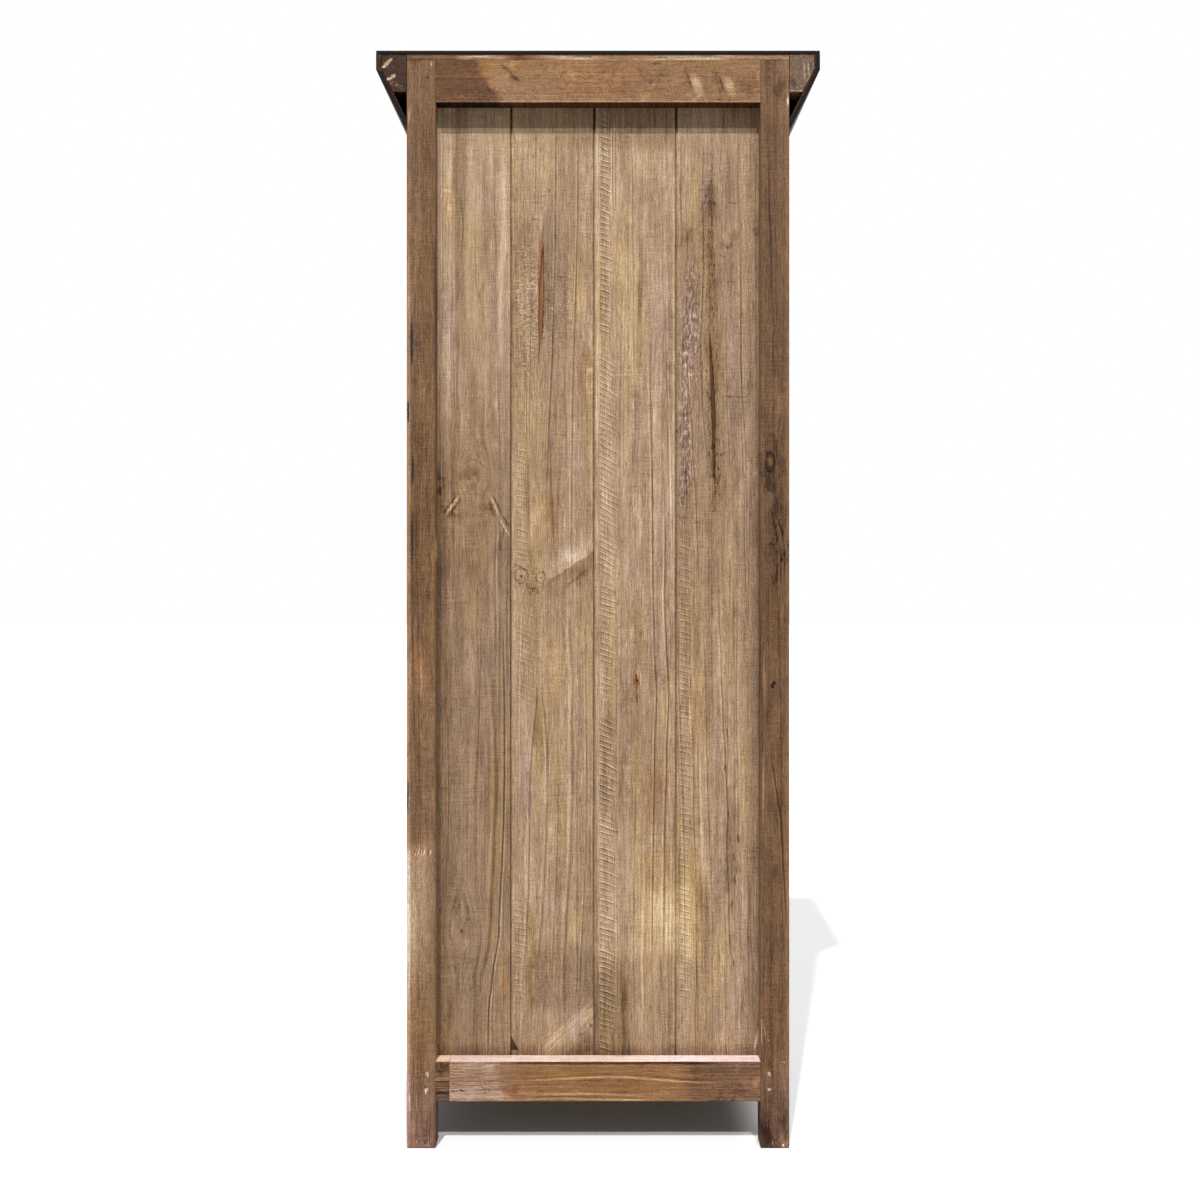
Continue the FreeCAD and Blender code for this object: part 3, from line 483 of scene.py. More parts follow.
def top_rail_tone(face, loose, x, z):
    tone = 0.6 + rise(x, 0.02, -0.1, 0.0, -0.025)
    blurred = (cloud(face, (52.0, 52.0, 1.0), 4.0, 0.6) - 0.5) * 0.05
    dark_end = rise(x - (z - 1.8) * 0.42 + rise(z, 1.775, 1.745, 0.0, 0.018) + blurred, 0.19, 0.206)
    half_dark = rise(x + blurred * 2.0, 0.158, 0.19)
    mottle = cloud(face, (150.0, 150.0, 1.0), 4.0, 0.7) - 0.5
    tone = tone - 0.165 * dark_end - 0.035 * half_dark + mottle * 0.34 * dark_end
    speckle = rise(cloud(face, (300.0, 330.0, 1.0), 3.0), 0.44, 0.58)
    tone += 0.17 * speckle * patch(loose, (0.228, 1.755), (0.03, 0.0095))
    tone -= 0.14 * speckle * patch(loose, (0.186, 1.768), (0.01, 0.012))
    tone = add_marks(tone, loose, (
        (7, 145, 1802, 18, 10), (-6, -95, 1795, 50, 12), (6, -85, 1778, 14, 10),
        (-7, -146, 1779, 13, 13), (-7, -200, 1774, 12, 14), (8, -160, 1753, 34, 8),
        (7, -72, 1753, 16, 10), (-7, -245, 1775, 24, 18), (-4, -30, 1795, 60, 10), (5, 60, 1800, 60, 12),
    ))
    tone = add_strokes(tone, face, (
        (-13, 164, 1808, 140, 1788, 8), (-13, 150, 1792, 124, 1775, 10), (-9, 150, 1786, 130, 1780, 10),
        (9, 167, 1772, 171, 1757, 4), (-12, 101, 1786, 96, 1788.5, 1.6),
        (-12, 96.5, 1788.5, 90, 1787, 1.6), (-9, 99, 1783, 93, 1785, 1.4),
        (-10, 90, 1791, 85, 1788, 1.6), (-10, 86, 1774.5, 79, 1776, 2.2), (-8, 68, 1784, 62, 1779, 1.4),
        (-10, 60, 1793, 57, 1792.5, 2.4), (-9, 44, 1795.5, 4, 1793, 1.8), (-12, 14, 1797, 0, 1800, 1.8),
        (-12, 8, 1794.5, -13, 1792, 2.2), (-12, 0, 1798.5, -14, 1795, 1.8),
        (-10, 12, 1801, -20, 1803, 1.8), (-8, 50, 1774.5, -20, 1778.5, 2.2),
        (-8, 100, 1758, 0, 1760, 2.4), (-9, 5, 1779, -28, 1780, 2), (-8, 0, 1763, -68, 1762, 2.2),
        (-8, -60, 1760, -120, 1766, 2.2), (-13, -86, 1808, -108, 1809, 5),
        (-9, -82, 1773, -93, 1780, 2.2), (-9, -83, 1771, -92, 1769, 2.6),
        (13, -154, 1796, -174, 1748, 23), (-15, -147, 1796, -159, 1760, 7),
        (13, -208, 1793, -230, 1746, 23), (-15, -200.5, 1791, -212, 1758, 7),
        (7, -266, 1796, -267, 1778, 6), (-9, -236, 1799, -264, 1801, 2.2),
        (-10, -238, 1809, -218, 1808, 2.6),
    ))
    tone = add_marks(tone, face, (
        (-24, -148, 1811.8, 1.8, 1.4), (-24, -154.5, 1811.8, 1.6, 1.4), (-24, -162.2, 1811.8, 1.8, 1.4),
        (-20, 191, 1774, 2.8, 2.2), (-16, 155.5, 1757, 2, 1.6), (-12, 108, 1769, 6, 1.2),
    ))
    curl = cloud(loose, (70.0, 150.0, 1.0), 3.0, 0.7)
    tone -= 0.16 * rise(abs(curl - 0.5), 0.03, 0.0) * rise(x, 0.19, 0.14)
    # Painted shade: the underside is painted much darker, and a painted highlight runs along the lower
    # arris just above it
    under = rise(z, top_rail_low.z + 0.0008, top_rail_low.z + 0.0002)
    return tone + 0.09 * rise(z, top_rail_low.z + 0.004, top_rail_low.z + 0.002) - 0.34 * under


def top_rail_hue(colour, face, loose, x, z):
    # The warm tint on the underside is part of its painted shade
    colour = tint(colour, rise(z, top_rail_low.z + 0.0008, top_rail_low.z + 0.0002), (1.1, 0.85, 0.5))
    colour = tint(colour, rise(x, 0.16, 0.2), (1.0, 0.88, 0.76))
    colour = tint(colour, rise(x, 0.19, 0.16), (1.03, 0.99, 0.93))
    return add_tints(colour, loose, (
        (golden, 60, 1800, 110, 20), (golden, 150, 1805, 16, 8), (orange, 0, 1775, 120, 35),
        (golden, 180, 1790, 50, 40), (lilac, -165, 1760, 30, 14),
    ))


def on_ledge(z):
    # 1 on the bottom rail's top face, which is painted pale for its dust and for a painted sheen
    return rise(z, bottom_rail_high.z - 0.0009, bottom_rail_high.z - 0.0001)


def bottom_rail_tone(face, loose, x, z):
    tone = 0.575 + rise(x, -0.12, -0.165, 0.0, -0.075)
    ragged = (cloud(face, (48.0, 60.0, 1.0), 4.0, 0.62) - 0.5) * 0.05
    waist = rise(abs(z - 0.128), 0.03, 0.0) * 0.012 - rise(z, 0.1, 0.082) * 0.018
    bleached = rise(x + ragged - waist, 0.15, 0.17)
    tone += 0.13 * bleached
    ruddy = patch(loose, (0.146, 0.096), (0.02, 0.02), 0.2)
    tone -= 0.06 * ruddy
    bowed = z + (cloud(loose, (16.0, 16.0, 1.0), 2.0) - 0.5) * 0.012
    fine = cloud(vector(x, bowed, 0.0), (5.0, 420.0, 1.0), 3.0, 0.6)
    tone -= 0.2 * rise(abs(fine - 0.5), 0.055, 0.0) * (0.4 + 0.6 * bleached)
    tone = add_courses(tone, z, x, (
        (12, 5, (-210, 109.5), (-150, 111), (-60, 117.8), (0, 118.8), (140, 112)),
        (8, 5, (-90, 88), (0, 90.5), (110, 90)),
        # The last line, just above the lower arris, is a painted highlight
        (9, 4, (-100, 81.2), (0, 81.8), (60, 83.5), (140, 81.2)),
    ))
    band = rise(z, bottom_rail_high.z - 0.0062, bottom_rail_high.z - 0.0042)
    band = band * rise(x + (ragged + 0.01) * 2.0, 0.205, 0.11) * rise(x, -0.215, -0.155)
    tone -= 0.27 * band
    tone = add_marks(tone, loose, (
        (-8, -215, 83, 75, 6), (7, -240, 138, 30, 4), (5, -225, 111, 35, 4), (-5, -165, 120, 16, 14),
        (-6, -240, 98, 30, 8), (10, -266, 120, 6, 20),
    ))
    tone = add_strokes(tone, face, (
        (-34, 251, 94.2, 215, 97.2, 2.6), (-16, 250, 107.5, 230, 108.5, 2.2),
        (-20, -185, 122.2, -198, 121.8, 2), (-20, -190, 101, -194.5, 101.5, 4),
        (-15, 185, 98.5, 179.5, 96.5, 3.6), (-9, 200, 112, 183, 90, 3),
    ))
    # The top face is painted pale and even: partly its dust, partly a painted sheen
    worn = cloud(vector(x, 0.0, 0.0), (130.0, 1.0, 1.0), 3.0)
    dust_and_sheen = 0.785 + rise(x, 0.1, -0.2) * 0.04 + (worn - 0.5) * 0.1
    return tone + (dust_and_sheen - tone) * on_ledge(z)


def bottom_rail_hue(colour, face, loose, x, z):
    ledge = rise(z, bottom_rail_high.z - 0.002, bottom_rail_high.z - 0.0008)
    for share, hue in (
        (between(x, -0.19, -0.12, 0.12, 0.16), (1.03, 0.9, 0.74)),
        (rise(x, -0.13, -0.18), (0.98, 0.93, 0.98)), (rise(x, 0.15, 0.175), (1.0, 1.0, 1.12)),
    ):
        colour = tint(colour, share * (1.0 - ledge), hue)
    colour = tint(colour, patch(loose, (0.146, 0.096), (0.024, 0.022), 0.2), (1.08, 0.86, 0.84))
    colour = tint(colour, patch(loose, (-0.267, 0.118), (0.005, 0.018)), orange)
    # The bluish tint on the top face is a painted sheen
    return tint(colour, ledge, (1.0, 1.05, 1.28))


def offcut_tone(face, loose, x, z):
    seam = (bottom_rail_low.z + bottom_rail_high.z) / 2
    tone = 0.46 - 0.09 * rise(z, seam + 0.001, seam - 0.001)
    tone -= 0.15 * patch(loose, (0.258, 0.139), (0.014, 0.007))
    tone += 0.08 * stroke(face, (0.271, 0.133), (0.252, 0.13), 0.006)
    for height in (0.1055, 0.0962, 0.088, 0.0815):
        tone += 0.11 * stroke(face, (0.272, height), (0.248, height), 0.0018, 0.2)
    tone -= 0.2 * rise(abs(z - seam), 0.0018, 0.0)
    # The top face is painted pale here too: partly dust, partly a painted sheen
    dust_and_sheen = 0.78 + (cloud(face, (300.0, 1.0, 1.0)) - 0.5) * 0.2
    return tone + (dust_and_sheen - tone) * on_ledge(z)


def offcut_hue(colour, face, loose, x, z):
    return tint(colour, rise(z, 0.113, 0.111), (0.94, 1.0, 1.16))


for node, name, seed, tone, hue, bold, saw, lined in (
    ("back_top_rail", "top_rail_pine", 3, top_rail_tone, top_rail_hue, 0.62, 0.05, 0.04),
    ("back_bottom_rail", "bottom_rail_pine", 4, bottom_rail_tone, bottom_rail_hue, 0.75, 0.05, 0.05),
    ("back_rail_packing_blocks", "offcut_pine", 5, offcut_tone, offcut_hue, 1.0, 0.08, 0.12),
):
    dress(node, pine(name, lengthwise, seed, stained_colour, tone, hue, (), bold, saw, lined))


# Back boards: four tongued pine boards set back behind the rails, brushed once with a thin brown wash.
# The planer left bands of chatter marks, two boards have drying cracks, and the grain runs round knots.
board_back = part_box("back_board_1")[1].y


def washed_colour(tone):
    stops = [
        (0.1, (0.006, 0.003, 0.0015)),
        (0.3, (0.071, 0.037, 0.018)),
        (0.45, (0.173, 0.102, 0.055)),
        (0.58, (0.302, 0.194, 0.115)),
        (0.66, (0.401, 0.263, 0.157)),
        (0.73, (0.5, 0.347, 0.216)),
        (0.83, (0.664, 0.5, 0.345)),
        (1.0, (0.95, 0.84, 0.69)),
    ]
    return tone.node("ValToRGB", {"stops": stops}, {0: tone})


def add_chatter(tone, x, z, spells, pitch=0.0096):
    # Thin slanting dents, drawn in the colour only, one for each turn of a chipped planer knife: each
    # dent is darker, and each lip has a painted highlight. Each spell is (strength, the end that bites,
    # the end that fades, lowest, highest, slant).
    for strength, *lengths, slant in spells:
        bite, fade, low, high = in_metres(*lengths)
        jitter = cloud(vector(x, z, bite), (24.0, 30.0, 1.0), 1.0)
        bend = (bite - x) / abs(bite - fade)
        beat = (z + (bite - x) * slant + bend * bend * 0.0016) / pitch + (jitter - 0.5) * 0.8
        step = beat.calc("FRACT", beat)
        each = cloud(vector(beat.calc("FLOOR", beat), low, 0.0), (0.9, 40.0, 1.0), 0.0)
        share = (x - fade) / (bite - fade)
        band = rise(share + (each - 0.5) * 1.1, 0.0, 0.45) * rise(share, 1.06, 0.96)
        band = band * rise(z, low, low + 0.02) * rise(z, high, high - 0.02)
        dent = between(step, 0.34, 0.46, 0.5, 0.62)
        lip_highlight = between(step, 0.54, 0.64, 0.72, 0.9)
        uneven = band * rise(each, 0.3, 0.6, 0.5, 1.0)
        tone += (lip_highlight * 0.6 - dent) * uneven * (strength * chatter_unit)
    return tone


def add_edges(tone, x, z, left, right):
    # The boards' edges at the seams: a painted highlight just inside one edge, a darker line along the
    # other, and painted shade on that edge high up, where the top rail's shadow falls. The boards are
    # also darker towards their foot, where they meet the bottom rail.
    tone += 0.06 * rise(abs(x - right - 0.0022), 0.0018, 0.0004)
    tone -= 0.1 * rise(x, left - 0.0034, left - 0.0012)
    tone -= 0.36 * rise(z, 1.698, 1.712) * rise(x, left - 0.0036, left - 0.0016)
    return tone - 0.13 * rise(z, 0.17, 0.147)


def first_board_tone(face, loose, x, z):
    tone = along_piece(z, (
        (0.15, 0.555), (0.35, 0.565), (0.6, 0.56), (0.85, 0.565), (1.0, 0.56), (1.16, 0.595),
        (1.3, 0.645), (1.5, 0.685), (1.7, 0.69),
    ))
    # Beside the post the board is painted lighter high up, as painted light lifting its shade, and
    # darker lower down, as painted shade from the post
    tone = add_edges(tone, x, z, 0.279, 0.1475) + 0.12 * rise(x, 0.2625, 0.268) * rise(z, 0.9, 1.2)
    tone -= 0.07 * rise(x, 0.24, 0.262) * rise(z, 1.2, 1.08)
    tone = add_marks(tone, loose, (
        (-5, 197, 1630, 20, 45), (-5, 184, 1540, 8, 55), (-6, 198, 1420, 9, 35), (8, 249, 1573, 15, 45),
        (5, 245, 1320, 17, 180), (-5, 212, 1240, 13, 120), (-15, 265, 1112, 10, 14),
        (-17, 266, 1082, 8, 13), (-13, 249, 1062, 14, 12), (-10, 178, 1064, 12, 22),
        (-12, 161, 1030, 6, 20), (9, 218, 1100, 24, 12), (-5, 214, 960, 18, 60), (-4, 165, 1130, 18, 24),
        (-7, 235, 1058, 14, 16), (-7, 186, 1060, 14, 18), (-9, 163, 1005, 11, 30), (5, 251, 900, 7, 120),
        (4, 215, 830, 16, 35), (-4, 225, 700, 20, 90), (3, 205, 560, 16, 100), (-4, 240, 230, 18, 60),
        (6, 176, 900, 17, 110), (-6, 215, 1115, 42, 40), (-7, 232, 850, 20, 80), (-4, 190, 600, 30, 120),
        (8, 250, 1620, 16, 50), (-5, 188, 1530, 14, 130), (-5, 165, 225, 14, 60),
    ))
    tone = add_marks(tone, face, (
        (-8, 189, 1510, 3.4, 24), (-14, 186.5, 1207, 1.8, 5.2), (-16, 206.5, 1125.5, 2.6, 5),
        (-24, 230.5, 355, 2, 7), (10, 222, 336, 6, 3), (-8, 222, 1015, 1.4, 28), (-7, 203, 990, 1.6, 12),
        (7, 243, 1590, 4, 10),
    ))
    tone = add_strokes(tone, face, (
        (-8, 228, 1142, 216, 1150, 3), (-9, 219, 1150, 202, 1149.5, 3), (-8, 206, 1149, 189, 1137, 3),
        (-5, 219, 1133, 195, 1130, 2.6), (17, 230, 1094, 262, 1051, 4), (-12, 234, 1097, 264, 1056, 4),
        (-12, 227, 1089, 258, 1047, 4.4), (17, 183, 1093, 165, 1048, 4.4),
        (17, 168, 1054, 148, 1018, 4.4), (-13, 179, 1093, 160, 1054, 5), (-13, 164, 1060, 148, 1034, 5),
        (-8, 186, 1086, 173, 1048, 6), (-7, 233, 424, 248, 382, 3), (-8, 228, 424, 214, 376, 3),
        (-6, 212, 380, 211, 335, 3), (-6, 249, 385, 251, 335, 3), (-5, 212, 338, 230, 310, 3),
        (6, 245, 384, 246, 340, 4), (8, 270, 1606, 240, 1601, 3), (-5, 269, 1611, 238, 1606, 4),
    ), 0.2)
    return add_courses(tone, x, z, (
        (6, 13, (1140, 159), (1250, 171), (1340, 166), (1400, 166), (1500, 161), (1600, 160),
         (1720, 163)), (-8, 3.4, (1480, 233), (1540, 228), (1600, 232)),
        (8, 2.4, (1370, 243), (1490, 243.2)), (8, 2.4, (1230, 240.5), (1350, 241.5)),
        (8, 4, (840, 168.5), (950, 171.5), (1050, 169)),
        (-17, -3.6, (100, 185.6), (220, 184.5), (250, 181.2), (300, 175.5), (340, 168.5), (380, 166.5),
         (450, 163), (520, 160), (600, 158.2), (720, 158), (900, 160.5)),
        (-9, 8, (220, 201), (280, 196.5), (320, 186.5), (360, 182), (400, 180), (470, 177), (540, 174),
         (600, 172.2), (660, 173), (720, 175.8), (840, 181)),
        (-7, 3, (600, 205), (720, 201), (860, 204), (960, 203)),
        (-6, 3, (420, 256), (580, 252), (740, 254)), (6, 3, (450, 190), (560, 188), (700, 190)),
    ))


def first_board_hue(colour, face, loose, x, z):
    return add_tints(colour, loose, (
        ((1.02, 0.99, 0.88), 249, 1570, 20, 70), ((0.985, 0.99, 0.93), 210, 1480, 40, 200),
        ((0.99, 0.985, 1.05), 245, 1320, 20, 200), (lilac, 252, 900, 10, 130), (lilac, 215, 830, 20, 45),
        (rust, 267, 1082, 9, 14), (lilac, 195, 720, 30, 200), (orange, 158, 260, 12, 70),
        (lilac, 165, 1130, 20, 26), (lilac, 196, 1600, 18, 70),
    ))


def second_board_tone(face, loose, x, z):
    tone = along_piece(z, (
        (0.15, 0.6), (0.24, 0.63), (0.45, 0.64), (0.7, 0.655), (0.86, 0.645), (0.95, 0.62),
        (1.1, 0.65), (1.35, 0.645), (1.55, 0.64), (1.7, 0.67),
    ))
    tone = add_edges(tone, x, z, 0.147, 0.008)
    woven = cloud(vector(x, z, 3.0), (150.0, 300.0, 1.0), 4.0, 0.7)
    weave = patch(loose, (0.12, 1.41), (0.03, 0.18), 0.3)
    weave += 0.5 * patch(loose, (0.065, 1.4), (0.04, 0.17), 0.3)
    tone += (woven - 0.5) * 0.95 * weave - 0.03 * weave
    tone = add_marks(tone, loose, (
        (6, 90, 1640, 18, 80), (7, 144, 1630, 6, 80), (-4, 120, 1540, 20, 45), (4, 127, 1420, 13, 110),
        (-4, 90, 1400, 22, 80), (-5, 23, 1290, 14, 60), (5, 33, 1430, 12, 70), (4, 105, 1050, 16, 80),
        (-5, 75, 1060, 28, 60), (9, 45, 990, 36, 20), (-8, 30, 950, 28, 24), (5, 70, 800, 15, 70),
        (-5, 100, 700, 12, 90), (5, 125, 620, 12, 100), (-7, 112, 310, 8, 130), (4, 75, 390, 16, 40),
        (5, 35, 370, 15, 50), (5, 10, 600, 6, 200), (-4, 30, 700, 8, 120), (5, 75, 520, 14, 80),
        (-8, 121, 590, 14, 90), (6, 136, 410, 10, 70), (-6, 41, 620, 14, 110), (8, 12, 1330, 8, 140),
        (7, 10, 1120, 8, 60),
    ))
    tone -= 0.07 * between(z, 0.205, 0.24, 0.31, 0.345) * rise(x, 0.13, 0.112)
    tone -= 0.1 * rise(z, 1.66, 1.692) * rise(x, 0.06, 0.02)
    mottled = rise(cloud(face, (260.0, 260.0, 1.0), 3.0), 0.42, 0.58)
    tone -= 0.2 * mottled * patch(loose, (0.113, 0.935), (0.02, 0.012), 0.3)
    # Two small knots side by side
    for middle, reach, depth in (
        ((0.1295, 0.954), (0.012, 0.013), 0.14), ((0.0965, 0.951), (0.0085, 0.01), 0.18),
    ):
        away = oval(face, middle, reach)
        rings = away.calc("SINE", away * 14.0)
        tone -= depth * rise(abs(away - 0.92), 0.26, 0.0)
        tone -= 0.05 * rise(rings, 0.0, 0.9) * rise(away, 1.0, 0.7)
        tone -= 0.24 * rise(away, 0.3, 0.12)
    flecks = (
        (92, 1682), (85, 1668), (98, 1657), (82, 1649), (114, 1633), (67, 1633), (83, 1604),
        (101, 1584), (91, 1594), (75, 1660), (106, 1610), (78, 1618),
    )
    tone = add_marks(tone, face, [(-13, *fleck, 3.4, 1.6) for fleck in flecks])
    tone = add_marks(tone, face, (
        (18, 48, 1458, 2.6, 2.2), (-14, 96.2, 1148, 1.4, 4.4), (-22, 12, 195, 4, 5.6),
        (-10, 30, 180, 5, 2.4),
    ))
    tone = add_strokes(tone, face, (
        (-13, 144, 1397, 104, 1388, 2.6), (-13, 131, 1475.5, 99, 1473, 2.4),
        (-13, 88, 1457.5, 39, 1458, 2.4), (-13, 114, 1556, 99, 1555, 2.4),
        (12, 86, 1405, 69, 1404.5, 2.6), (-12, 136, 1311, 119, 1305, 2.4),
        (-10, 79, 1226, 59, 1219, 2.4), (-10, 130, 1226, 119, 1224, 2.4), (-12, 98, 1345, 101, 1305, 3),
        (-10, 105, 1310, 99, 1280, 2.4), (-10, 95, 1295, 100, 1250, 2.4), (-15, 144, 972, 131, 969.5, 4),
        (-15, 134, 970, 117, 961, 4), (-8, 117, 965, 104, 956, 3), (-7, 64, 926, 8, 973, 6),
    ), 0.2)
    tone = add_courses(tone, x, z, (
        (-7, 3, (1560, 106), (1640, 105), (1720, 105)),
        (-11, 3, (1060, 87), (1180, 84), (1240, 81.5), (1310, 78), (1380, 75.5), (1480, 72.5),
         (1600, 72), (1740, 71.5)),
        (-11, 3, (900, 42.5), (960, 44.2), (1020, 45.3), (1150, 44.5), (1250, 43), (1330, 41),
         (1420, 38), (1500, 36), (1600, 34), (1740, 33.5)),
        (-8, 2.6, (1060, 118.8), (1200, 120.5), (1340, 121.6)),
        (-8, 6.2, (180, 56.5), (280, 58), (330, 56), (400, 52), (470, 47), (540, 45), (600, 43),
         (700, 44), (780, 43), (850, 47), (950, 48.5)),
        (-9, 3, (200, 32.5), (250, 31), (350, 27), (450, 22), (550, 20), (650, 19.5), (750, 20.5),
         (920, 21.2)),
        (-9, 4.4, (240, 126), (400, 118.5), (520, 116), (620, 114.5), (700, 107.5), (800, 100)),
        (-9, 4.4, (260, 104), (360, 96), (460, 89.5), (600, 86), (700, 88.5), (800, 98.5)),
        (-6, 3, (220, 80), (360, 74.5), (500, 69), (660, 66)),
        (-7, 2.6, (1500, 140.5), (1600, 141.2), (1720, 141)), (7, 3, (600, 132), (720, 133), (900, 130)),
    ))
    tone = add_chatter(tone, x, z, (
        (13, 138, 118, 970, 1190, 0.2), (10, 137, 104, 730, 915, 0.45), (12, 141, 122, 210, 420, 0.15),
    ))
    tone += stroke(face, (0.0945, 1.548), (0.0975, 1.325), 0.013, 0.5, -0.13)
    tone += stroke(face, (0.0918, 1.525), (0.0943, 1.335), 0.0034, 0.3, -0.24)
    # A pale smear, sharp where a diagonal ridge stops it and fading upwards
    above = z - 0.942 - (0.09 - x) * 0.636 + (cloud(face, (45.0, 45.0, 1.0), 3.0) - 0.5) * 0.02
    across_board = rise(x, 0.112, 0.07)
    tone += 0.095 * between(above, -0.0015, 0.002, 0.015, 0.06) * across_board
    tone -= 0.07 * between(above, -0.05, -0.01, -0.002, 0.001) * across_board
    # Another across the foot of the board, brushed aslant
    below = 0.24 - z - (x - 0.01) * 0.885
    swept = cloud(vector(x * 0.885 + z, z - x, 2.0), (250.0, 13.0, 1.0), 3.0, 0.6)
    smeared = between(below, -0.004, 0.007, 0.02, 0.068) * rise(x, 0.1, 0.075)
    tone += (0.09 + (swept - 0.5) * 0.5) * smeared
    tone += stroke(loose, (0.05, 0.138), (0.008, 0.18), 0.03, 0.5, -0.07)
    chipped = rise(x - 0.1335 - (z - 0.154) * 0.52, 0.0, 0.0018)
    return tone - 0.32 * chipped * between(z, 0.1525, 0.155, 0.176, 0.179)


def second_board_hue(colour, face, loose, x, z):
    colour = tint(colour, stroke(face, (0.0945, 1.548), (0.0975, 1.325), 0.012, 0.4), rust)
    return add_tints(colour, loose, (
        (golden, 90, 1640, 24, 100), (golden, 144, 1630, 8, 90), (lilac, 124, 1400, 22, 170),
        (orange, 22, 1300, 14, 60), (golden, 33, 1430, 14, 80), (golden, 12, 1200, 6, 200),
        (golden, 100, 1060, 26, 90), ((0.98, 0.985, 1.06), 45, 1000, 44, 30), (lilac, 35, 190, 34, 36),
        (orange, 32, 955, 26, 20), (orange, 75, 1055, 26, 60), (golden, 70, 800, 18, 80),
        (olive, 100, 680, 14, 100), (olive, 112, 310, 12, 140), (golden, 35, 370, 18, 60),
        (lilac, 75, 400, 18, 50), (lilac, 125, 600, 12, 100),
    ))


def third_board_tone(face, loose, x, z):
    tone = along_piece(z, (
        (0.15, 0.62), (0.24, 0.65), (0.4, 0.675), (0.6, 0.64), (0.78, 0.65), (0.95, 0.665),
        (1.2, 0.67), (1.5, 0.665), (1.7, 0.68),
    ))
    tone = add_edges(tone, x, z, 0.0065, -0.1305)
    tone += 0.12 * rise(abs(x - 0.002), 0.0065, 0.001) * rise(z, 1.1, 1.25)
    tone = tone - 0.09 * rise(z, 1.66, 1.692) - 0.09 * rise(z, 0.325, 0.29) * rise(x, -0.08, -0.045)
    tone += patch(loose, (-0.116, 0.362), (0.06, 0.1), 0.25, 0.13)
    rough = cloud(vector(x, z, 7.0), (330.0, 150.0, 1.0), 3.0, 0.7)
    tone = add_marks(tone, loose, (
        (5, -42, 1480, 14, 200), (5, -67, 1660, 9, 50), (-7, -118, 1330, 13, 190),
        (-5, -90, 1560, 14, 80), (-8, -14, 640, 15, 160), (-7, -40, 600, 16, 80),
        (-7, -121, 860, 11, 220), (5, -46, 1060, 14, 50), (-5, -75, 1250, 12, 130),
        (-6, -110, 970, 12, 30), (-5, -50, 1100, 12, 120), (5, -70, 1050, 12, 90), (5, -58, 855, 8, 25),
        (5, -78, 870, 7, 36), (-6, -96, 590, 30, 70), (-7, -45, 245, 10, 50), (-5, -110, 300, 12, 90),
        (4, -50, 600, 10, 90), (-5, -45, 760, 10, 70),
    ))
    tone += (rough - 0.62) * 0.5 * patch(loose, (-0.107, 0.78), (0.018, 0.04), 0.2)
    tone = add_marks(tone, face, (
        (-30, -65.2, 778, 3, 3.2), (-18, -64.5, 776, 5.8, 11), (-24, -64.5, 786, 2.2, 7.5),
        (-20, -65.5, 766, 2, 6),
    ))
    tone = add_strokes(tone, face, (
        (-15, -64, 768, -66.2, 728, 3), (10, -58, 1705, -58.5, 1655, 2.4), (10, -72, 796, -72.5, 760, 3),
    ), 0.2)
    tone = add_courses(tone, x, z, (
        (-15, 3.6, (260, -90.5), (400, -91.5), (500, -93), (600, -95), (680, -96), (750, -98.8),
         (800, -96.5), (870, -94.2), (950, -92.5), (1050, -92), (1150, -90.5), (1400, -86.2)),
        (-15, 3.6, (260, -110.5), (500, -112), (600, -114.5), (680, -116.2), (750, -119.3),
         (800, -117.2), (860, -114), (920, -112.2), (1000, -113.4), (1140, -111.8)),
        (-9, 2.6, (1580, -24.2), (1650, -24.6), (1740, -24.4)),
        (-8, 2.6, (1560, -29.5), (1660, -29), (1740, -28.8)),
        (-7, 2.6, (160, -33), (400, -32), (600, -31), (800, -30.8)),
        (-8, 2.2, (1360, -4.6), (1500, -4.8), (1720, -4.8)),
        (9, 3, (950, -124), (1100, -122), (1300, -118), (1500, -116)),
        (-7, 3, (1100, -64), (1300, -61), (1500, -59), (1720, -57)),
        (8, 5, (200, -76), (320, -74), (440, -77), (540, -75)),
        (-7, 3.4, (160, -62), (300, -60), (460, -61), (660, -64)),
        (-6, 3, (160, -123), (400, -125), (620, -127)),
    ))
    return add_chatter(tone, x, z, (
        (24, -4.5, -23, 1350, 1740, 0.3), (19, -2.8, -33, 940, 1350, 0.5),
        (20, -4.5, -29, 740, 950, 0.3), (30, -3, -31, 550, 720, 0.42), (24, -3, -30, 140, 560, 0.3),
    ))


def third_board_hue(colour, face, loose, x, z):
    colour = tint(colour, patch(face, (-0.0652, 0.7775), (0.0066, 0.012), 0.4), (1.2, 0.78, 0.45))
    colour = tint(colour, stroke(face, (-0.0645, 0.768), (-0.066, 0.734), 0.0036), rust)
    return add_tints(colour, loose, (
        (golden, -43, 1480, 16, 220), (golden, -67, 1660, 10, 60), (golden, 2, 1450, 5, 200),
        (lilac, -112, 1360, 20, 200), (lilac, -105, 1000, 20, 120), (lilac, -108, 830, 14, 110),
        (golden, -65, 870, 16, 50), (orange, -95, 590, 30, 80), ((1.02, 0.99, 0.8), -112, 400, 66, 150),
        (orange, -82, 470, 22, 20), (olive, -45, 245, 14, 60), (lilac, -70, 1250, 14, 120),
    ))


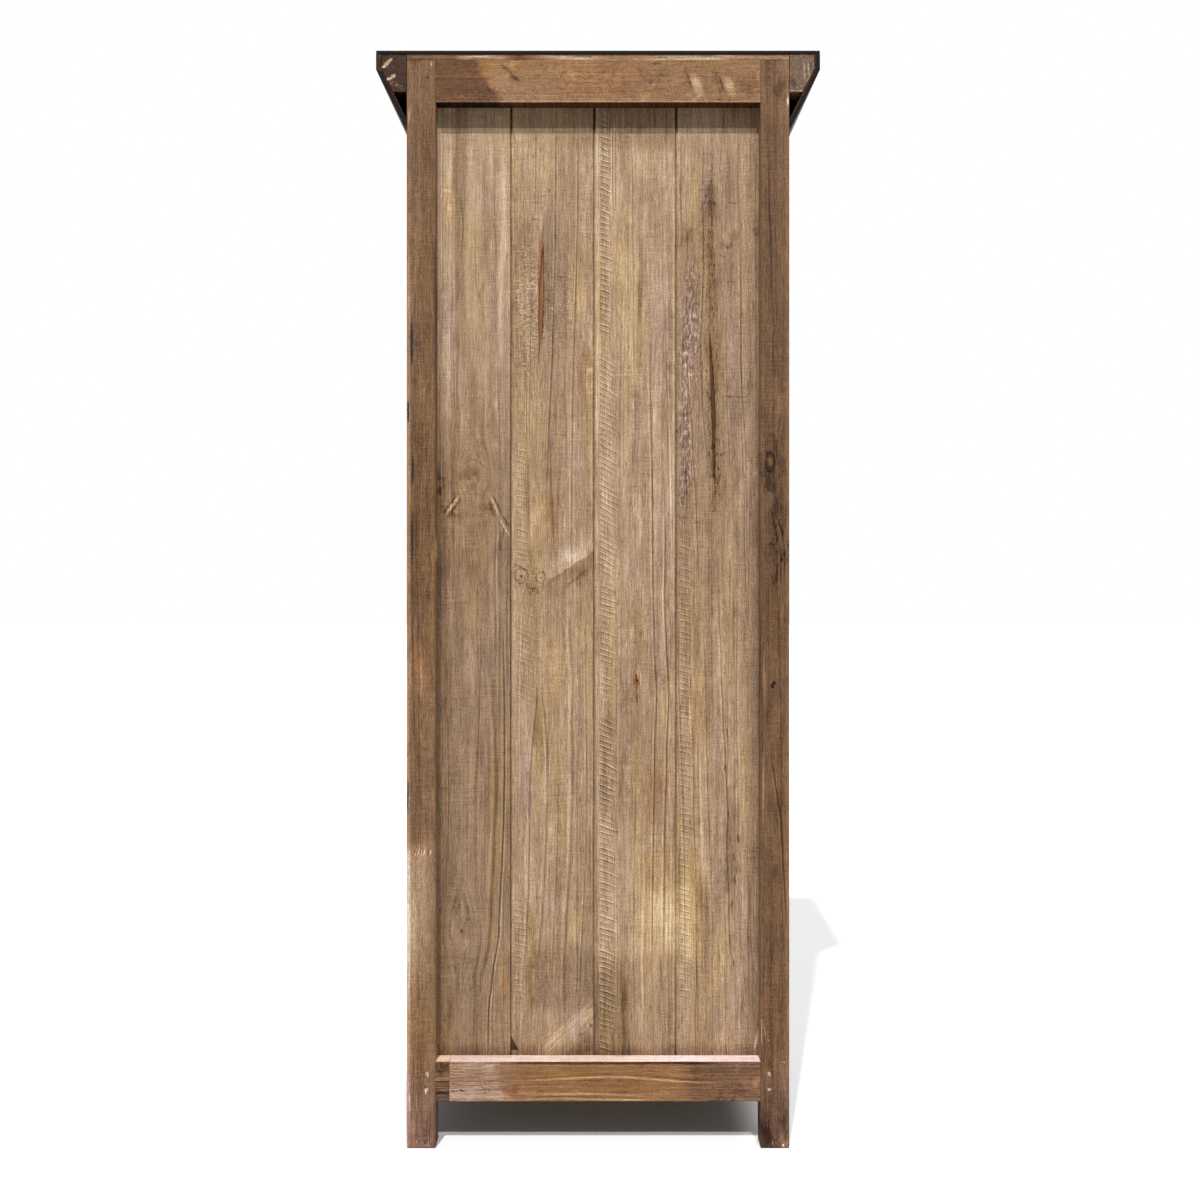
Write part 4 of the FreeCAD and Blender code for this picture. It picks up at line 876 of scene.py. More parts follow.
def fourth_board_tone(face, loose, x, z):
    tone = along_piece(z, (
        (0.15, 0.62), (0.26, 0.64), (0.45, 0.65), (0.65, 0.645), (0.85, 0.615), (1.05, 0.6),
        (1.3, 0.61), (1.5, 0.63), (1.7, 0.665),
    ))
    tone = add_edges(tone, x, z, -0.1315, -0.279)
    # Darker towards the right post, partly the board's own colour and partly painted shade from the post
    tone -= 0.07 * rise(x, -0.246, -0.264) * rise(z, 1.3, 0.7, 0.6, 1.0)
    tone += patch(loose, (-0.138, 0.362), (0.05, 0.105), 0.25, 0.13)
    scribble = cloud(vector(x, z, 9.0), (300.0, 90.0, 1.0), 4.0, 0.72)
    weave = patch(loose, (-0.146, 1.17), (0.016, 0.16), 0.3)
    weave += patch(loose, (-0.157, 1.37), (0.023, 0.17), 0.3)
    tone += (scribble - 0.56) * 1.0 * weave + 0.11 * rise(scribble, 0.52, 0.6) * weave
    pores = rise(cloud(face, (480.0, 85.0, 1.0), 1.0), 0.6, 0.66)
    course = rise(abs(x + 0.188 + (z - 1.5) * -0.02), 0.018, 0.004) * between(z, 1.02, 1.12, 1.62, 1.7)
    tone -= (0.05 + 0.3 * pores) * course
    tone = add_marks(tone, loose, (
        (5, -136, 1640, 5, 80), (-9, -148, 1520, 14, 44), (-8, -187, 1590, 18, 60),
        (-10, -218, 1520, 22, 18), (-12, -267, 1530, 9, 20), (-7, -190, 1460, 12, 130),
        (-8, -200, 1130, 6, 70), (5, -160, 1370, 14, 120), (6, -142, 1400, 7, 60),
        (5, -143, 1020, 8, 60), (-7, -148, 755, 12, 50), (8, -172, 468, 18, 60),
        (-13, -229, 480, 20, 210), (7, -155, 1280, 18, 100), (7, -178, 1010, 12, 60),
        (8, -204, 830, 17, 140), (5, -176, 850, 10, 50), (5, -225, 1350, 10, 100),
        (-5, -232, 1130, 10, 90), (4, -240, 600, 12, 120), (-4, -180, 350, 12, 120),
        (4, -205, 300, 12, 100), (-6, -245, 230, 16, 60),
    ))
    ticks = (
        (-214, 630), (-229, 480), (-231, 440), (-236.5, 510), (-229, 300), (-220, 550), (-218, 690),
        (-226, 400),
    )
    tone = add_marks(tone, face, [(-22, *tick, 2.2, 12) for tick in ticks])
    tone = add_strokes(tone, face, (
        (-14, -199, 1256, -266, 1255.3, 2.4), (14, -229, 1255.3, -235, 1255.1, 3),
        (14, -252, 1255.3, -258, 1255.1, 3), (-13, -209, 1451.5, -236, 1449, 2.4),
        (-12, -202, 1154, -219, 1164, 2.6), (-12, -207, 1388.5, -217, 1387, 2.4),
        (-12, -199, 1500, -216, 1489, 2.4), (-11, -214, 1583, -239, 1583, 2.4),
        (-15, -183.5, 1156, -188.5, 1157, 3), (-13, -147.5, 1140, -149, 1090, 3.4),
        (-10, -202.5, 352, -204.5, 295, 3),
    ), 0.2)
    tone = add_courses(tone, x, z, (
        (-11, 3, (1130, -185.5), (1180, -181.2), (1220, -177.5), (1280, -174.5), (1350, -173.5),
         (1450, -177.2), (1600, -177)),
        (-10, 3, (920, -170.5), (1000, -168), (1100, -164), (1150, -161), (1220, -157), (1270, -152),
         (1360, -148)),
        (-10, 3, (900, -255), (1000, -251.5), (1100, -250), (1180, -248), (1240, -244.5),
         (1300, -241.2), (1400, -240.5), (1540, -239.5)),
        (-9, 2.6, (1120, -223.5), (1200, -219), (1250, -216.7), (1420, -216.5)),
        (-8, 2.6, (1000, -265.5), (1300, -266), (1700, -265.5)),
        (-11, 3.6, (260, -227.5), (350, -221.2), (420, -220), (500, -217.5), (550, -218.8),
         (620, -216), (680, -212.5), (750, -209.5), (850, -206), (960, -200)),
        (-9, 3, (500, -234.5), (600, -236.5), (700, -233.5), (940, -235.2)),
        (-8, 3, (150, -147), (420, -146), (520, -144.5), (600, -142), (700, -139), (800, -135.5),
         (960, -136.2)),
        (-8, 3, (150, -169), (280, -166.5), (470, -164.5), (550, -161), (640, -160.5), (720, -158),
         (800, -155), (960, -153.5)),
        (-8, 3, (150, -194.5), (280, -192.5), (370, -192.5), (450, -190), (530, -187), (630, -184),
         (720, -182.5), (920, -177.5)), (7, 4, (250, -179), (400, -177), (550, -174), (700, -170)),
    ))
    tone += stroke(face, (-0.1895, 1.37), (-0.1985, 1.07), 0.007, 0.4, -0.2)
    tone += stroke(loose, (-0.178, 1.64), (-0.188, 1.4), 0.014, 0.8, -0.05)
    tone += stroke(loose, (-0.186, 1.4), (-0.199, 1.05), 0.013, 0.8, -0.04)
    tone += stroke(face, (-0.2715, 0.19), (-0.262, 0.148), 0.0034, 0.2, 0.18)
    return add_chatter(tone, x, z, ((14, -138, -159, 230, 1030, 0.2),))


def fourth_board_hue(colour, face, loose, x, z):
    colour = tint(colour, rise(x, -0.24, -0.266), (0.96, 0.98, 1.04))
    colour = tint(colour, stroke(face, (-0.1895, 1.37), (-0.1985, 1.13), 0.007, 0.4), rust)
    return add_tints(colour, loose, (
        (golden, -136, 1640, 7, 90), (olive, -150, 1520, 14, 26), (olive, -220, 1518, 16, 12),
        (lilac, -160, 1370, 18, 150), (lilac, -157, 1370, 24, 180), (lilac, -146, 1160, 18, 160),
        (orange, -185, 1480, 14, 160), (orange, -200, 1130, 8, 80), (golden, -143, 1020, 10, 70),
        (golden, -172, 730, 22, 140), ((1.02, 0.99, 0.8), -155, 400, 36, 160),
        (golden, -205, 300, 24, 120), (lilac, -225, 1300, 14, 160),
    ))


first_knots = (((0.2076, 1.13), (0.016, 0.02)), ((0.2314, 0.3586), (0.019, 0.03)))
second_knots = (((0.1301, 0.9544), (0.01, 0.012)), ((0.097, 0.9516), (0.006, 0.009)))
third_knots = (((-0.0655, 0.7786), (0.006, 0.014)),)
for number, tone, hue, knots, bold, crack in (
    (1, first_board_tone, first_board_hue, first_knots, 0.85, None),
    (2, second_board_tone, second_board_hue, second_knots, 1.0, (0.096, board_back, 0.53)),
    (3, third_board_tone, third_board_hue, third_knots, 1.0, None),
    (4, fourth_board_tone, fourth_board_hue, (), 1.0, (-0.1945, board_back, 0.36)),
):
    name = "back_board_%d" % number
    material = pine(
        name + "_pine", upright, 10 + number, washed_colour, tone, hue, knots, bold, crack=crack
    )
    dress(name, material)


# Nails: wire nails through the boards and the rear posts. Low down in the posts their heads are stopped
# with pale filler, higher up they are stained over.
def metal_finish(name, clean, dull, rough, metal, spotting=0.5):
    made, place = new_material(name)
    spots = cloud(place, (260.0, 260.0, 260.0), 4.0, 0.65)
    dulled = rise(spots, spotting - 0.06, spotting + 0.1)
    rubbed = cloud(place, (1500.0, 1500.0, 90.0), 2.0)
    colour = mix((*clean, 1.0), (*dull, 1.0), dulled)
    roughness = rough + dulled * 0.22 + (rubbed - 0.5) * 0.12
    height = 0.5 + (spots - 0.5) * 0.5 + (rubbed - 0.5) * 0.3
    return finish_material(made, colour, roughness, height, 0.00012, metal - dulled * metal * 0.6)


def filled_nail():
    made, place = new_material("stopped_nail")
    across, through, along = parts_of(place)
    smear = cloud(place, (700.0, 700.0, 300.0), 2.0)
    stained = stained_colour(0.4 + (smear - 0.5) * 0.3)
    low_down = rise(along, 0.4, 0.3)
    colour = mix(stained, (0.46, 0.37, 0.28, 1.0), low_down)
    return finish_material(made, colour, 0.75 - low_down * 0.05, smear, 0.0003)


dress("back_rail_nails", filled_nail())
dress("back_board_nails", metal_finish("nail_steel", (0.36, 0.34, 0.32), (0.16, 0.09, 0.05), 0.4, 0.9))


# Front posts and rails: the same pine, painted blue-black on their outer faces and left bare inside.
# The paint is rubbed through along the arrises and chipped at the feet.
def face_gap(parts, faces):
    # Distance to the nearest of some flat faces, each given as (axis, place)
    gaps = [abs(parts[axis] - place) for axis, place in faces]
    nearest = gaps[0]
    for gap in gaps[1:]:
        nearest = gap.calc("MINIMUM", nearest, gap)
    return nearest


def arris_gap(parts, low, high):
    # Distance from a point of a square-cut piece to its nearest arris, as the middle of three distances
    gaps = []
    for part, start, end in zip(parts, low, high):
        gaps.append(part.calc("MINIMUM", part - start, end - part))
    a, b, c = gaps
    smaller, larger = a.calc("MINIMUM", a, b), a.calc("MAXIMUM", a, b)
    return a.calc("MAXIMUM", smaller, larger.calc("MINIMUM", larger, c))


dark_paint = (0.006, 0.0063, 0.0075, 1.0)
pale_paint = (0.022, 0.023, 0.026, 1.0)
thin_paint = (0.075, 0.052, 0.038, 1.0)
# The next colour is a painted shade for end faces that the lamps light head on
end_shade_paint = (0.015, 0.0085, 0.007, 1.0)
dusty_paint = (0.085, 0.08, 0.076, 1.0)


def painted_pine(name, axes, seed, gap, lap, edges, bare=0.52, wear=0.0016, end_shade=None):
    # gap gives the distance to the painted faces, edges to what rubs first, lap how far the paint goes,
    # and the last argument where the paint is darkened as painted shade and made less shiny, on end
    # faces that the lamps light head on
    made, place = new_material(name)
    parts = parts_of(place)
    across, along, through = [parts[axis] for axis in axes]
    start = 3.1 * seed
    moved = vector(across + start, along, through)
    fibre = cloud(moved, (760.0, 16.0, 760.0), 3.0)
    streak = cloud(moved, (160.0, 2.2, 160.0), 4.0, 0.65)
    late = growth_lines(across, along, start, 0.014, 0.04)
    chips = cloud(moved, (85.0, 45.0, 85.0), 5.0, 0.68)
    brush = cloud(moved, (620.0, 9.0, 620.0), 2.0)
    spread = cloud(moved, (9.0, 6.0, 9.0), 3.0)
    wood_tone = bare + (streak - 0.5) * 0.28 + (fibre - 0.5) * 0.22 - late * 0.1
    wood = stained_colour(wood_tone)
    strength = rise(spread, 0.44, 0.62)
    edge = edges(parts) + (0.47 - chips) * 0.024
    worn = rise(edge, wear, wear - 0.0014) * strength
    thin = rise(edge, wear + 0.007, wear) * strength
    knocks = rise(chips, 0.7, 0.73)
    covered = rise(gap(parts) + (chips - 0.5) * 0.008, lap + 0.0016, lap - 0.0004)
    whole = covered * (1.0 - worn) * (1.0 - knocks)
    shade = (brush - 0.5) * 0.9 + (spread - 0.5) * 0.8 + 0.5
    paint = mix(dark_paint, pale_paint, rise(shade, 0.2, 0.8))
    paint = mix(paint, thin_paint, thin * 0.55)
    paint = mix(paint, dusty_paint, rise(streak, 0.6, 0.74) * 0.25)
    # Painted shade: a flat, darker paint on end faces that the lamps light head on
    if end_shade:
        paint = mix(paint, end_shade_paint, end_shade(parts))
    colour = mix(wood, paint, whole)
    rough = 0.7 - whole * (0.27 - thin * 0.15 - (spread - 0.5) * 0.25)
    height = whole * 0.5 + (fibre - 0.5) * 0.28 + (brush - 0.5) * 0.2 - late * 0.08
    return finish_material(made, colour, rough, height, 0.0006, shine=0.08 if end_shade else 0.25)


def paint_node(node, axes, seed, faces, lap=0.007, bare=0.52, wear=0.0016, end_shade=None):
    low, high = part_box(node)
    dress(node, painted_pine(
        node + "_paint", axes, seed, lambda parts: face_gap(parts, faces), lap,
        lambda parts: arris_gap(parts, low, high), bare, wear, end_shade,
    ))


front_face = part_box("front_right_post")[0].y
outer_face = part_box("front_right_post")[1].x
painted_front = ((1, front_face),)
paint_node("front_right_post", upright, 11, ((0, outer_face), *painted_front))
paint_node("front_left_post", upright, 12, ((0, -outer_face), *painted_front))
paint_node("front_top_rail", lengthwise, 13, painted_front)
paint_node("front_bottom_rail", lengthwise, 14, painted_front)


# Sides: each has two rails tenoned between its posts, and three tongued boards in their grooves,
# painted outside and bare inside.
side_rail_axes = (2, 1, 0)
for side, sign in (("right", 1.0), ("left", -1.0)):
    rail_face = sign * outer_face
    low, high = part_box("side_boards_" + side)
    board_face = high.x if sign > 0.0 else low.x
    paint_node("side_top_rail_" + side, side_rail_axes, 15 + sign, ((0, rail_face),))
    paint_node("side_bottom_rail_" + side, side_rail_axes, 18 + sign, ((0, rail_face),))
    paint_node("side_boards_" + side, (1, 2, 0), 21 + sign, ((0, board_face),), 0.003, 0.58, 0.0)


# Floor, shelves and cleats: bare pine boards, yellowed and marked by use, on square cleats nailed to
# the sides.
def shelf_tone(face, loose, x, y):
    ring_of_damp = oval(face, (0.16, -0.05), (0.042, 0.042))
    return 0.69 - 0.05 * rise(abs(ring_of_damp - 1.0), 0.09, 0.0)


def cleat_tone(face, loose, x, y):
    return 0.62 + 0.03 * rise(y, -0.1, 0.1)


flat = (1, 0, 2)
shelf_names = ["shelf_%d" % number for number in (1, 2, 3, 4)] + ["floor_board"]
for number, shelf_name in enumerate(shelf_names):
    material = pine(shelf_name + "_pine", flat, 31 + number, washed_colour, shelf_tone, bold=0.7)
    dress(shelf_name, material)
dress("shelf_cleats", pine("cleat_pine", side_rail_axes, 37, washed_colour, cleat_tone, bold=0.7))


# Top board and cover: a pine board nailed on the posts, its sawn edge pale where the stain missed it,
# under a thin black-painted cover whose paint runs over the edge unevenly.
cover_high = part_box("top_cover")[1]
top_low, top_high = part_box("top_board")


def top_board_tone(face, loose, x, z):
    # The sawn edge that shows at the back is pale where the stain missed it
    tone = along_piece(x, (
        (-0.37, 0.58), (-0.25, 0.59), (-0.2, 0.64), (-0.15, 0.66), (-0.11, 0.63), (-0.07, 0.53),
        (0.0, 0.6), (0.04, 0.67), (0.07, 0.69), (0.095, 0.58), (0.12, 0.45), (0.15, 0.53),
        (0.165, 0.65), (0.2, 0.64), (0.225, 0.62), (0.24, 0.43), (0.28, 0.46), (0.37, 0.38),
    ))
    upper = rise(z, 1.8172, 1.8196) - 0.5
    ends = patch(face, (0.195, 1.818), (0.03, 1.0)) - 1.4 * patch(face, (0.025, 1.818), (0.035, 1.0))
    tone += 0.22 * upper * (ends - 0.6 * patch(face, (-0.18, 1.818), (0.04, 1.0)))
    tone = add_marks(tone, face, (
        (-34, 14, 1820, 3, 1.6), (-34, -25, 1819, 3, 1.6), (-46, -106, 1818.5, 5, 1.2),
        (-46, -113, 1818, 3, 1),
    ))
    rim = rise(z, top_low.z + 0.0026, top_low.z + 0.001)
    return tone + 0.16 * rim * between(x, -0.23, -0.2, -0.02, 0.01)


def top_board_hue(colour, face, loose, x, z):
    colour = tint(colour, rise(x, -0.15, -0.05), (1.0, 0.98, 0.9))
    colour = tint(colour, rise(abs(x - 0.128), 0.03, 0.012), (1.1, 0.86, 0.55))
    drips = cloud(vector(x, 0.0, 0.0), (26.0, 1.0, 1.0), 3.0)
    hang = 0.0024 + (drips - 0.5) * 0.0024 + 0.0012 * rise(abs(x - 0.13), 0.012, 0.0)
    lapped = rise(z - top_high.z + hang, -0.0004, 0.0004)
    lapped = lapped * rise(z, top_high.z + 0.001, top_high.z - 0.0001)
    return mix(colour, (0.022, 0.013, 0.01, 1.0), lapped)


dress("top_board", pine(
    "top_board_pine", lengthwise, 41, stained_colour, top_board_tone, top_board_hue, saw=0.06, lined=0.04
))
# The cover's rear edge gets that painted shade
paint_node(
    "top_cover", flat, 42, ((2, cover_high.z),), 0.03, 0.52, -0.006,
    lambda parts: rise(parts[1], cover_high.y - 0.004, cover_high.y - 0.001),
)


# Crown: three boards set aslant under the cover, mitred at the front corners, each with an upright
# fascia, painted outside. At the back their sawn ends show, one painted over and one left brown.
crown_low, crown_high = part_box("crown_right")
crown_reach = crown_high.x - outer_face
crown_lip = 0.003
fascia_height = 0.026
fascia_low = crown_high.z - fascia_height
slope = (fascia_low - crown_low.z) / (crown_reach - crown_lip)
slope_length = math.sqrt(1.0 + slope * slope)


def crown_gap(out, height):
    # Distance inwards from the crown's outer surface
    from_fascia = abs(crown_reach - out)
    from_slope = abs(height - crown_low.z - (out - crown_lip) * slope) / slope_length
    return out.calc("MINIMUM", from_fascia, from_slope)


def diagonal(across, along):
    return (across * across + along * along) ** 0.5


def crown_edges(out, height, run_gap):
    # Distance from the crown's long edges and its ends
    at_fascia = diagonal(out - crown_reach, height - fascia_low)
    foot = diagonal(out - crown_lip, height - crown_low.z)
    nearest = out.calc("MINIMUM", at_fascia, foot)
    return out.calc("MINIMUM", nearest, run_gap)


for side, sign, lap in (("right", 1.0, 0.0012), ("left", -1.0, 0.0065)):
    def side_gap(parts, sign=sign, lap=lap):
        out, height = sign * parts[0] - outer_face, parts[2]
        slope_end = rise(height, fascia_low, fascia_low - 0.004) * max(0.0, 0.0045 - lap)
        return crown_gap(out, height) - slope_end * 2.0

    def side_edges(parts, sign=sign):
        out, height = sign * parts[0] - outer_face, parts[2]
        return crown_edges(out, height, abs(crown_high.y - parts[1]) + 0.014)

    name = "crown_" + side
    # The boards' rear ends get painted shade, as the lamps light them head on
    end_shade = lambda parts: rise(parts[1], crown_high.y - 0.003, crown_high.y - 0.001)
    dress(name, painted_pine(
        name + "_paint", side_rail_axes, 51 + sign, side_gap, lap, side_edges, 0.27, 0.0016, end_shade
    ))


def front_gap(parts):
    return crown_gap(front_face - parts[1], parts[2])


def front_edges(parts):
    return crown_edges(front_face - parts[1], parts[2], crown_high.x - abs(parts[0]) + 0.004)


dress("crown_front", painted_pine(
    "crown_front_paint", lengthwise, 54, front_gap, 0.004, front_edges, 0.42
))


# Crown blocks: rough offcuts glued in the crown's hollow to hold it, with torn and splintered ends.
# The one at the photo's left is stained dark and broken along its lower edge.
def edit_mesh(edit, **settings):
    # Runs one edit on the whole of the active mesh
    bpy.ops.object.mode_set(mode="EDIT")
    bpy.ops.mesh.select_all(action="SELECT")
    edit(**settings)
    bpy.ops.object.mode_set(mode="OBJECT")


def loose_copy(node, name):
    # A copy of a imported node, its loose triangles merged
    piece = bpy.data.objects.new(name, nodes[node].data.copy())
    bpy.context.scene.collection.objects.link(piece)
    bpy.ops.object.select_all(action="DESELECT")
    piece.select_set(True)
    bpy.context.view_layer.objects.active = piece
    edit_mesh(bpy.ops.mesh.remove_doubles, threshold=0.00001)
    return piece


def roughen(piece, cuts, lump, depth):
    # Divides the faces and pushes their points inwards by uneven amounts
    bpy.context.view_layer.objects.active = piece
    edit_mesh(bpy.ops.mesh.subdivide, number_cuts=cuts)
    torn = bpy.data.textures.new(piece.name + "_torn", "CLOUDS")
    torn.noise_scale = lump
    torn.noise_depth = 3
    push = piece.modifiers.new("torn", "DISPLACE")
    push.texture = torn
    push.texture_coords = "LOCAL"
    push.mid_level = 0.0
    push.strength = -depth
    bpy.ops.object.modifier_apply(modifier=push.name)


def splinter(place, length, width, turn):
    bpy.ops.object.select_all(action="DESELECT")
    bpy.ops.mesh.primitive_cone_add(
        vertices=6, radius1=width, radius2=width * 0.12, depth=length, location=place, rotation=turn
    )
    spike = bpy.context.object
    edit_mesh(bpy.ops.mesh.subdivide, number_cuts=1, fractal=0.6, seed=3)
    return spike


block_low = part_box("crown_blocks")[0]
offcut_blocks = loose_copy("crown_blocks", "torn_crown_blocks")
roughen(offcut_blocks, 9, 0.006, 0.0022)


def block_finish():
    made, place = new_material("torn_offcut_pine")
    across, through, along = parts_of(place)
    face = vector(across, along, 1.0)
    ring_line = diagonal(across + 0.3, along - 1.74) / 0.0032
    lump = cloud(place, (150.0, 150.0, 150.0), 4.0, 0.65)
    torn = cloud(place, (700.0, 200.0, 420.0), 4.0, 0.7)
    share = ring_line.calc("FRACT", ring_line + lump * 1.5)
    ring_dark = between(share, 0.3, 0.8, 0.9, 1.0)
    left_side = rise(across, -0.01, 0.01)
    tone = 0.475 - left_side * 0.25 + (lump - 0.5) * 0.4 + (torn - 0.5) * 0.46 - ring_dark * 0.05
    tone -= 0.12 * rise(torn, 0.62, 0.72)
    ragged = vector(across + (lump - 0.5) * 0.01, along + (torn - 0.5) * 0.006, 1.0)
    bared = sum(stroke(ragged, start, end, width, 0.3) for start, end, width in (
        ((0.367, 1.8035), (0.355, 1.8025), 0.006), ((0.36, 1.801), (0.3405, 1.82), 0.0085),
        ((0.3575, 1.782), (0.344, 1.7835), 0.0066), ((0.347, 1.782), (0.337, 1.7915), 0.0075),
    ))
    tone += 0.52 * bared
    past_tear = (across + 0.362) * -0.85 - (along - 1.797) * 0.53 + (torn - 0.5) * 0.008
    beyond = rise(past_tear, 0.0, 0.0015) * (1.0 - left_side)
    for start, end, width, strength in (
        ((-0.3425, 1.816), (-0.345, 1.774), 0.003, 0.2), ((-0.35, 1.815), (-0.352, 1.785), 0.003, 0.22),
        ((-0.332, 1.77), (-0.335, 1.766), 0.003, 0.26), ((-0.356, 1.793), (-0.348, 1.778), 0.003, 0.22),
    ):
        tone += stroke(ragged, start, end, width, 0.3, strength)
    chips = rise(cloud(place, (520.0, 520.0, 520.0), 2.0), 0.5, 0.6)
    broken = stroke(face, (0.362, 1.786), (0.319, 1.764), 0.01, 0.3) * left_side
    tone += 0.38 * chips * broken
    pale_rim = stroke(face, (-0.364, 1.82), (-0.36, 1.795), 0.009, 0.3)
    tone += 0.3 * chips * pale_rim
    tone -= 0.35 * stroke(face, (-0.3548, 1.81), (-0.356, 1.801), 0.0022)
    tone -= 0.14 * patch(face, (-0.3265, 1.776), (0.008, 0.014))
    tone += 0.2 * rise(along, block_low.z + 0.0042, block_low.z + 0.0012) * (1.0 - left_side)
    tone -= 0.34 * beyond
    colour = tint(washed_colour(tone), 1.0 - left_side, (0.95, 0.97, 1.12))
    colour = tint(colour, left_side - bared, (1.0, 0.66, 0.44))
    height = 0.5 + (torn - 0.5) * 0.9 - ring_dark * 0.2
    return finish_material(made, colour, 0.85 - (lump - 0.5) * 0.2, height, 0.0012)


offcut_blocks.data.materials.clear()
offcut_blocks.data.materials.append(block_finish())
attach(offcut_blocks, "carcass")
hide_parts("crown_blocks")

# Each splinter is (place across, height, length, width at its root, turn)
splinter_y = 0.2247
spikes = [splinter((x, splinter_y, z), *form) for x, z, *form in (
    (0.356, 1.78, 0.012, 0.0012, (0.2, 2.1, 0.0)), (0.348, 1.774, 0.01, 0.0011, (0.0, 2.4, 0.3)),
    (0.34, 1.769, 0.013, 0.0013, (0.3, 1.9, 0.0)), (0.333, 1.766, 0.009, 0.001, (0.0, 2.6, 0.2)),
    (0.327, 1.763, 0.01, 0.0012, (0.1, 2.0, 0.1)), (-0.3625, 1.806, 0.01, 0.0011, (0.1, -0.4, 0.0)),
    (-0.361, 1.796, 0.008, 0.001, (0.0, -0.8, 0.1)), (-0.3475, 1.776, 0.01, 0.001, (0.0, -0.7, 0.0)),
)]
bpy.ops.object.select_all(action="DESELECT")
for spike in spikes:
    spike.select_set(True)
bpy.context.view_layer.objects.active = spikes[0]
bpy.ops.object.join()
splinters = bpy.context.object
splinters.name = "block_splinters"
bpy.ops.object.transform_apply(location=True, rotation=True, scale=True)


def splinter_finish():
    made, place = new_material("pale_splinter")
    fleck = cloud(place, (900.0, 900.0, 900.0), 2.0)
    colour = washed_colour(0.72 + (fleck - 0.5) * 0.5)
    return finish_material(made, colour, 0.8 - fleck * 0.1, fleck, 0.0004)


splinters.data.materials.append(splinter_finish())
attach(splinters, "carcass")


# Doors: each has two stiles, three rails and two raised panels, all painted on the front and the
# edges. Hands have rubbed the paint round the knobs, and the panels' fields are worn at their rims.
doors = ("left_door", "right_door")
panel_rim = 0.0422
painted_edge = 0.0185
field_face = ((1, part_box("left_door_upper_panel")[0].y),)


def panel_edges(low, high):
    def edges(parts):
        gap_x = parts[0].calc("MINIMUM", parts[0] - low.x, high.x - parts[0])
        gap_z = parts[2].calc("MINIMUM", parts[2] - low.z, high.z - parts[2])
        nearest = gap_x.calc("MINIMUM", gap_x, gap_z)
        field = abs(nearest - panel_rim)
        corner = abs(gap_x - gap_z) + 0.001 + 0.03 * rise(nearest, panel_rim - 0.001, panel_rim)
        return field.calc("MINIMUM", field, corner)

    return edges


for seed, door in zip((61, 71), doors):
    paint_node(door + "_hinge_stile", upright, seed, painted_front, painted_edge)
    paint_node(door + "_meeting_stile", upright, seed + 1, painted_front, painted_edge, 0.52, 0.0024)
    for number, rail in enumerate(("bottom_rail", "lock_rail", "top_rail")):
        paint_node(door + "_" + rail, lengthwise, seed + 2 + number, painted_front, painted_edge)
    for number, panel in enumerate(("lower_panel", "upper_panel")):
        name = door + "_" + panel
        dress(name, painted_pine(
            name + "_paint", upright, seed + 5 + number, lambda parts: face_gap(parts, field_face),
            0.0085, panel_edges(*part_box(name)), 0.54,
        ))


# Knobs: turned from beech and painted with the doors, rubbed bare on the rim by hands, each held by a
# screw from inside.
def knob_finish(node):
    made, place = new_material(node + "_paint")
    low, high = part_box(node)
    middle = (low + high) / 2
    x, y, z = parts_of(place)
    radius = diagonal(x - middle.x, z - middle.z)
    turned = cloud(vector(radius, y, 0.0), (2600.0, 2600.0, 1.0), 1.0)
    rubbed = cloud(place, (170.0, 170.0, 170.0), 4.0, 0.65)
    at_rim = rise(abs(radius - (high.x - middle.x)) + (0.46 - rubbed) * 0.022, 0.0022, 0.0006)
    crest = rise(radius + (rubbed - 0.5) * 0.016, 0.0042, 0.002)
    worn = at_rim.calc("MAXIMUM", at_rim, crest * 0.8)
    paint = mix((0.009, 0.009, 0.011, 1.0), (0.028, 0.028, 0.031, 1.0), rubbed)
    colour = mix(paint, stained_colour(0.56 + (turned - 0.5) * 0.3), worn)
    height = 0.5 + (turned - 0.5) * 0.3 - worn * 0.4
    return finish_material(made, colour, 0.34 + worn * 0.25, height, 0.0004)


for door in doors:
    dress(door + "_knob", knob_finish(door + "_knob"))


# Hinges: cast iron butts, blackened, with steel pins that shine where they turn, and slotted screws.
iron = metal_finish("blackened_iron", (0.06, 0.058, 0.057), (0.105, 0.048, 0.026), 0.46, 0.85)
pin_steel = metal_finish("pin_steel", (0.3, 0.29, 0.28), (0.12, 0.07, 0.045), 0.32, 1.0)
screw_zinc = metal_finish("screw_zinc", (0.55, 0.54, 0.52), (0.3, 0.26, 0.21), 0.34, 1.0)
dress("hinge_pins", pin_steel)
dress("hinge_post_leaves", iron)
dress("carcass_screws", screw_zinc)
for door in doors:
    dress(door + "_hinge_leaves", iron)
    dress(door + "_screws", screw_zinc)


# Catches: a brown plastic case screwed under the top rail for each door, with a magnet behind two
# steel jaws, and a thin steel strike plate on the door.
catch_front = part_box("magnetic_catches")[0].y


def catch_finish():
    made, place = new_material("catch_plastic")
    x, y, z = parts_of(place)
    pebbled = cloud(place, (1600.0, 1600.0, 1600.0), 2.0)
    rubbed = cloud(place, (120.0, 120.0, 120.0), 3.0)
    from_middle, half_magnet = 0.062, 0.012
    beside = rise(abs(abs(x) - from_middle), half_magnet + 0.0002, half_magnet - 0.0002)
    jaws = beside * rise(y, catch_front + 0.0006, catch_front + 0.0002)
    colour = mix((0.055, 0.026, 0.014, 1.0), (0.09, 0.048, 0.028, 1.0), rise(rubbed, 0.4, 0.7))
    colour = mix(colour, (0.42, 0.41, 0.4, 1.0), jaws)
    return finish_material(made, colour, 0.42 - jaws * 0.1, pebbled, 0.0001, jaws)


dress("magnetic_catches", catch_finish())
strike_steel = metal_finish("strike_steel", (0.52, 0.51, 0.5), (0.26, 0.22, 0.18), 0.3, 1.0, 0.56)
for door in doors:
    dress(door + "_strike_plate", strike_steel)


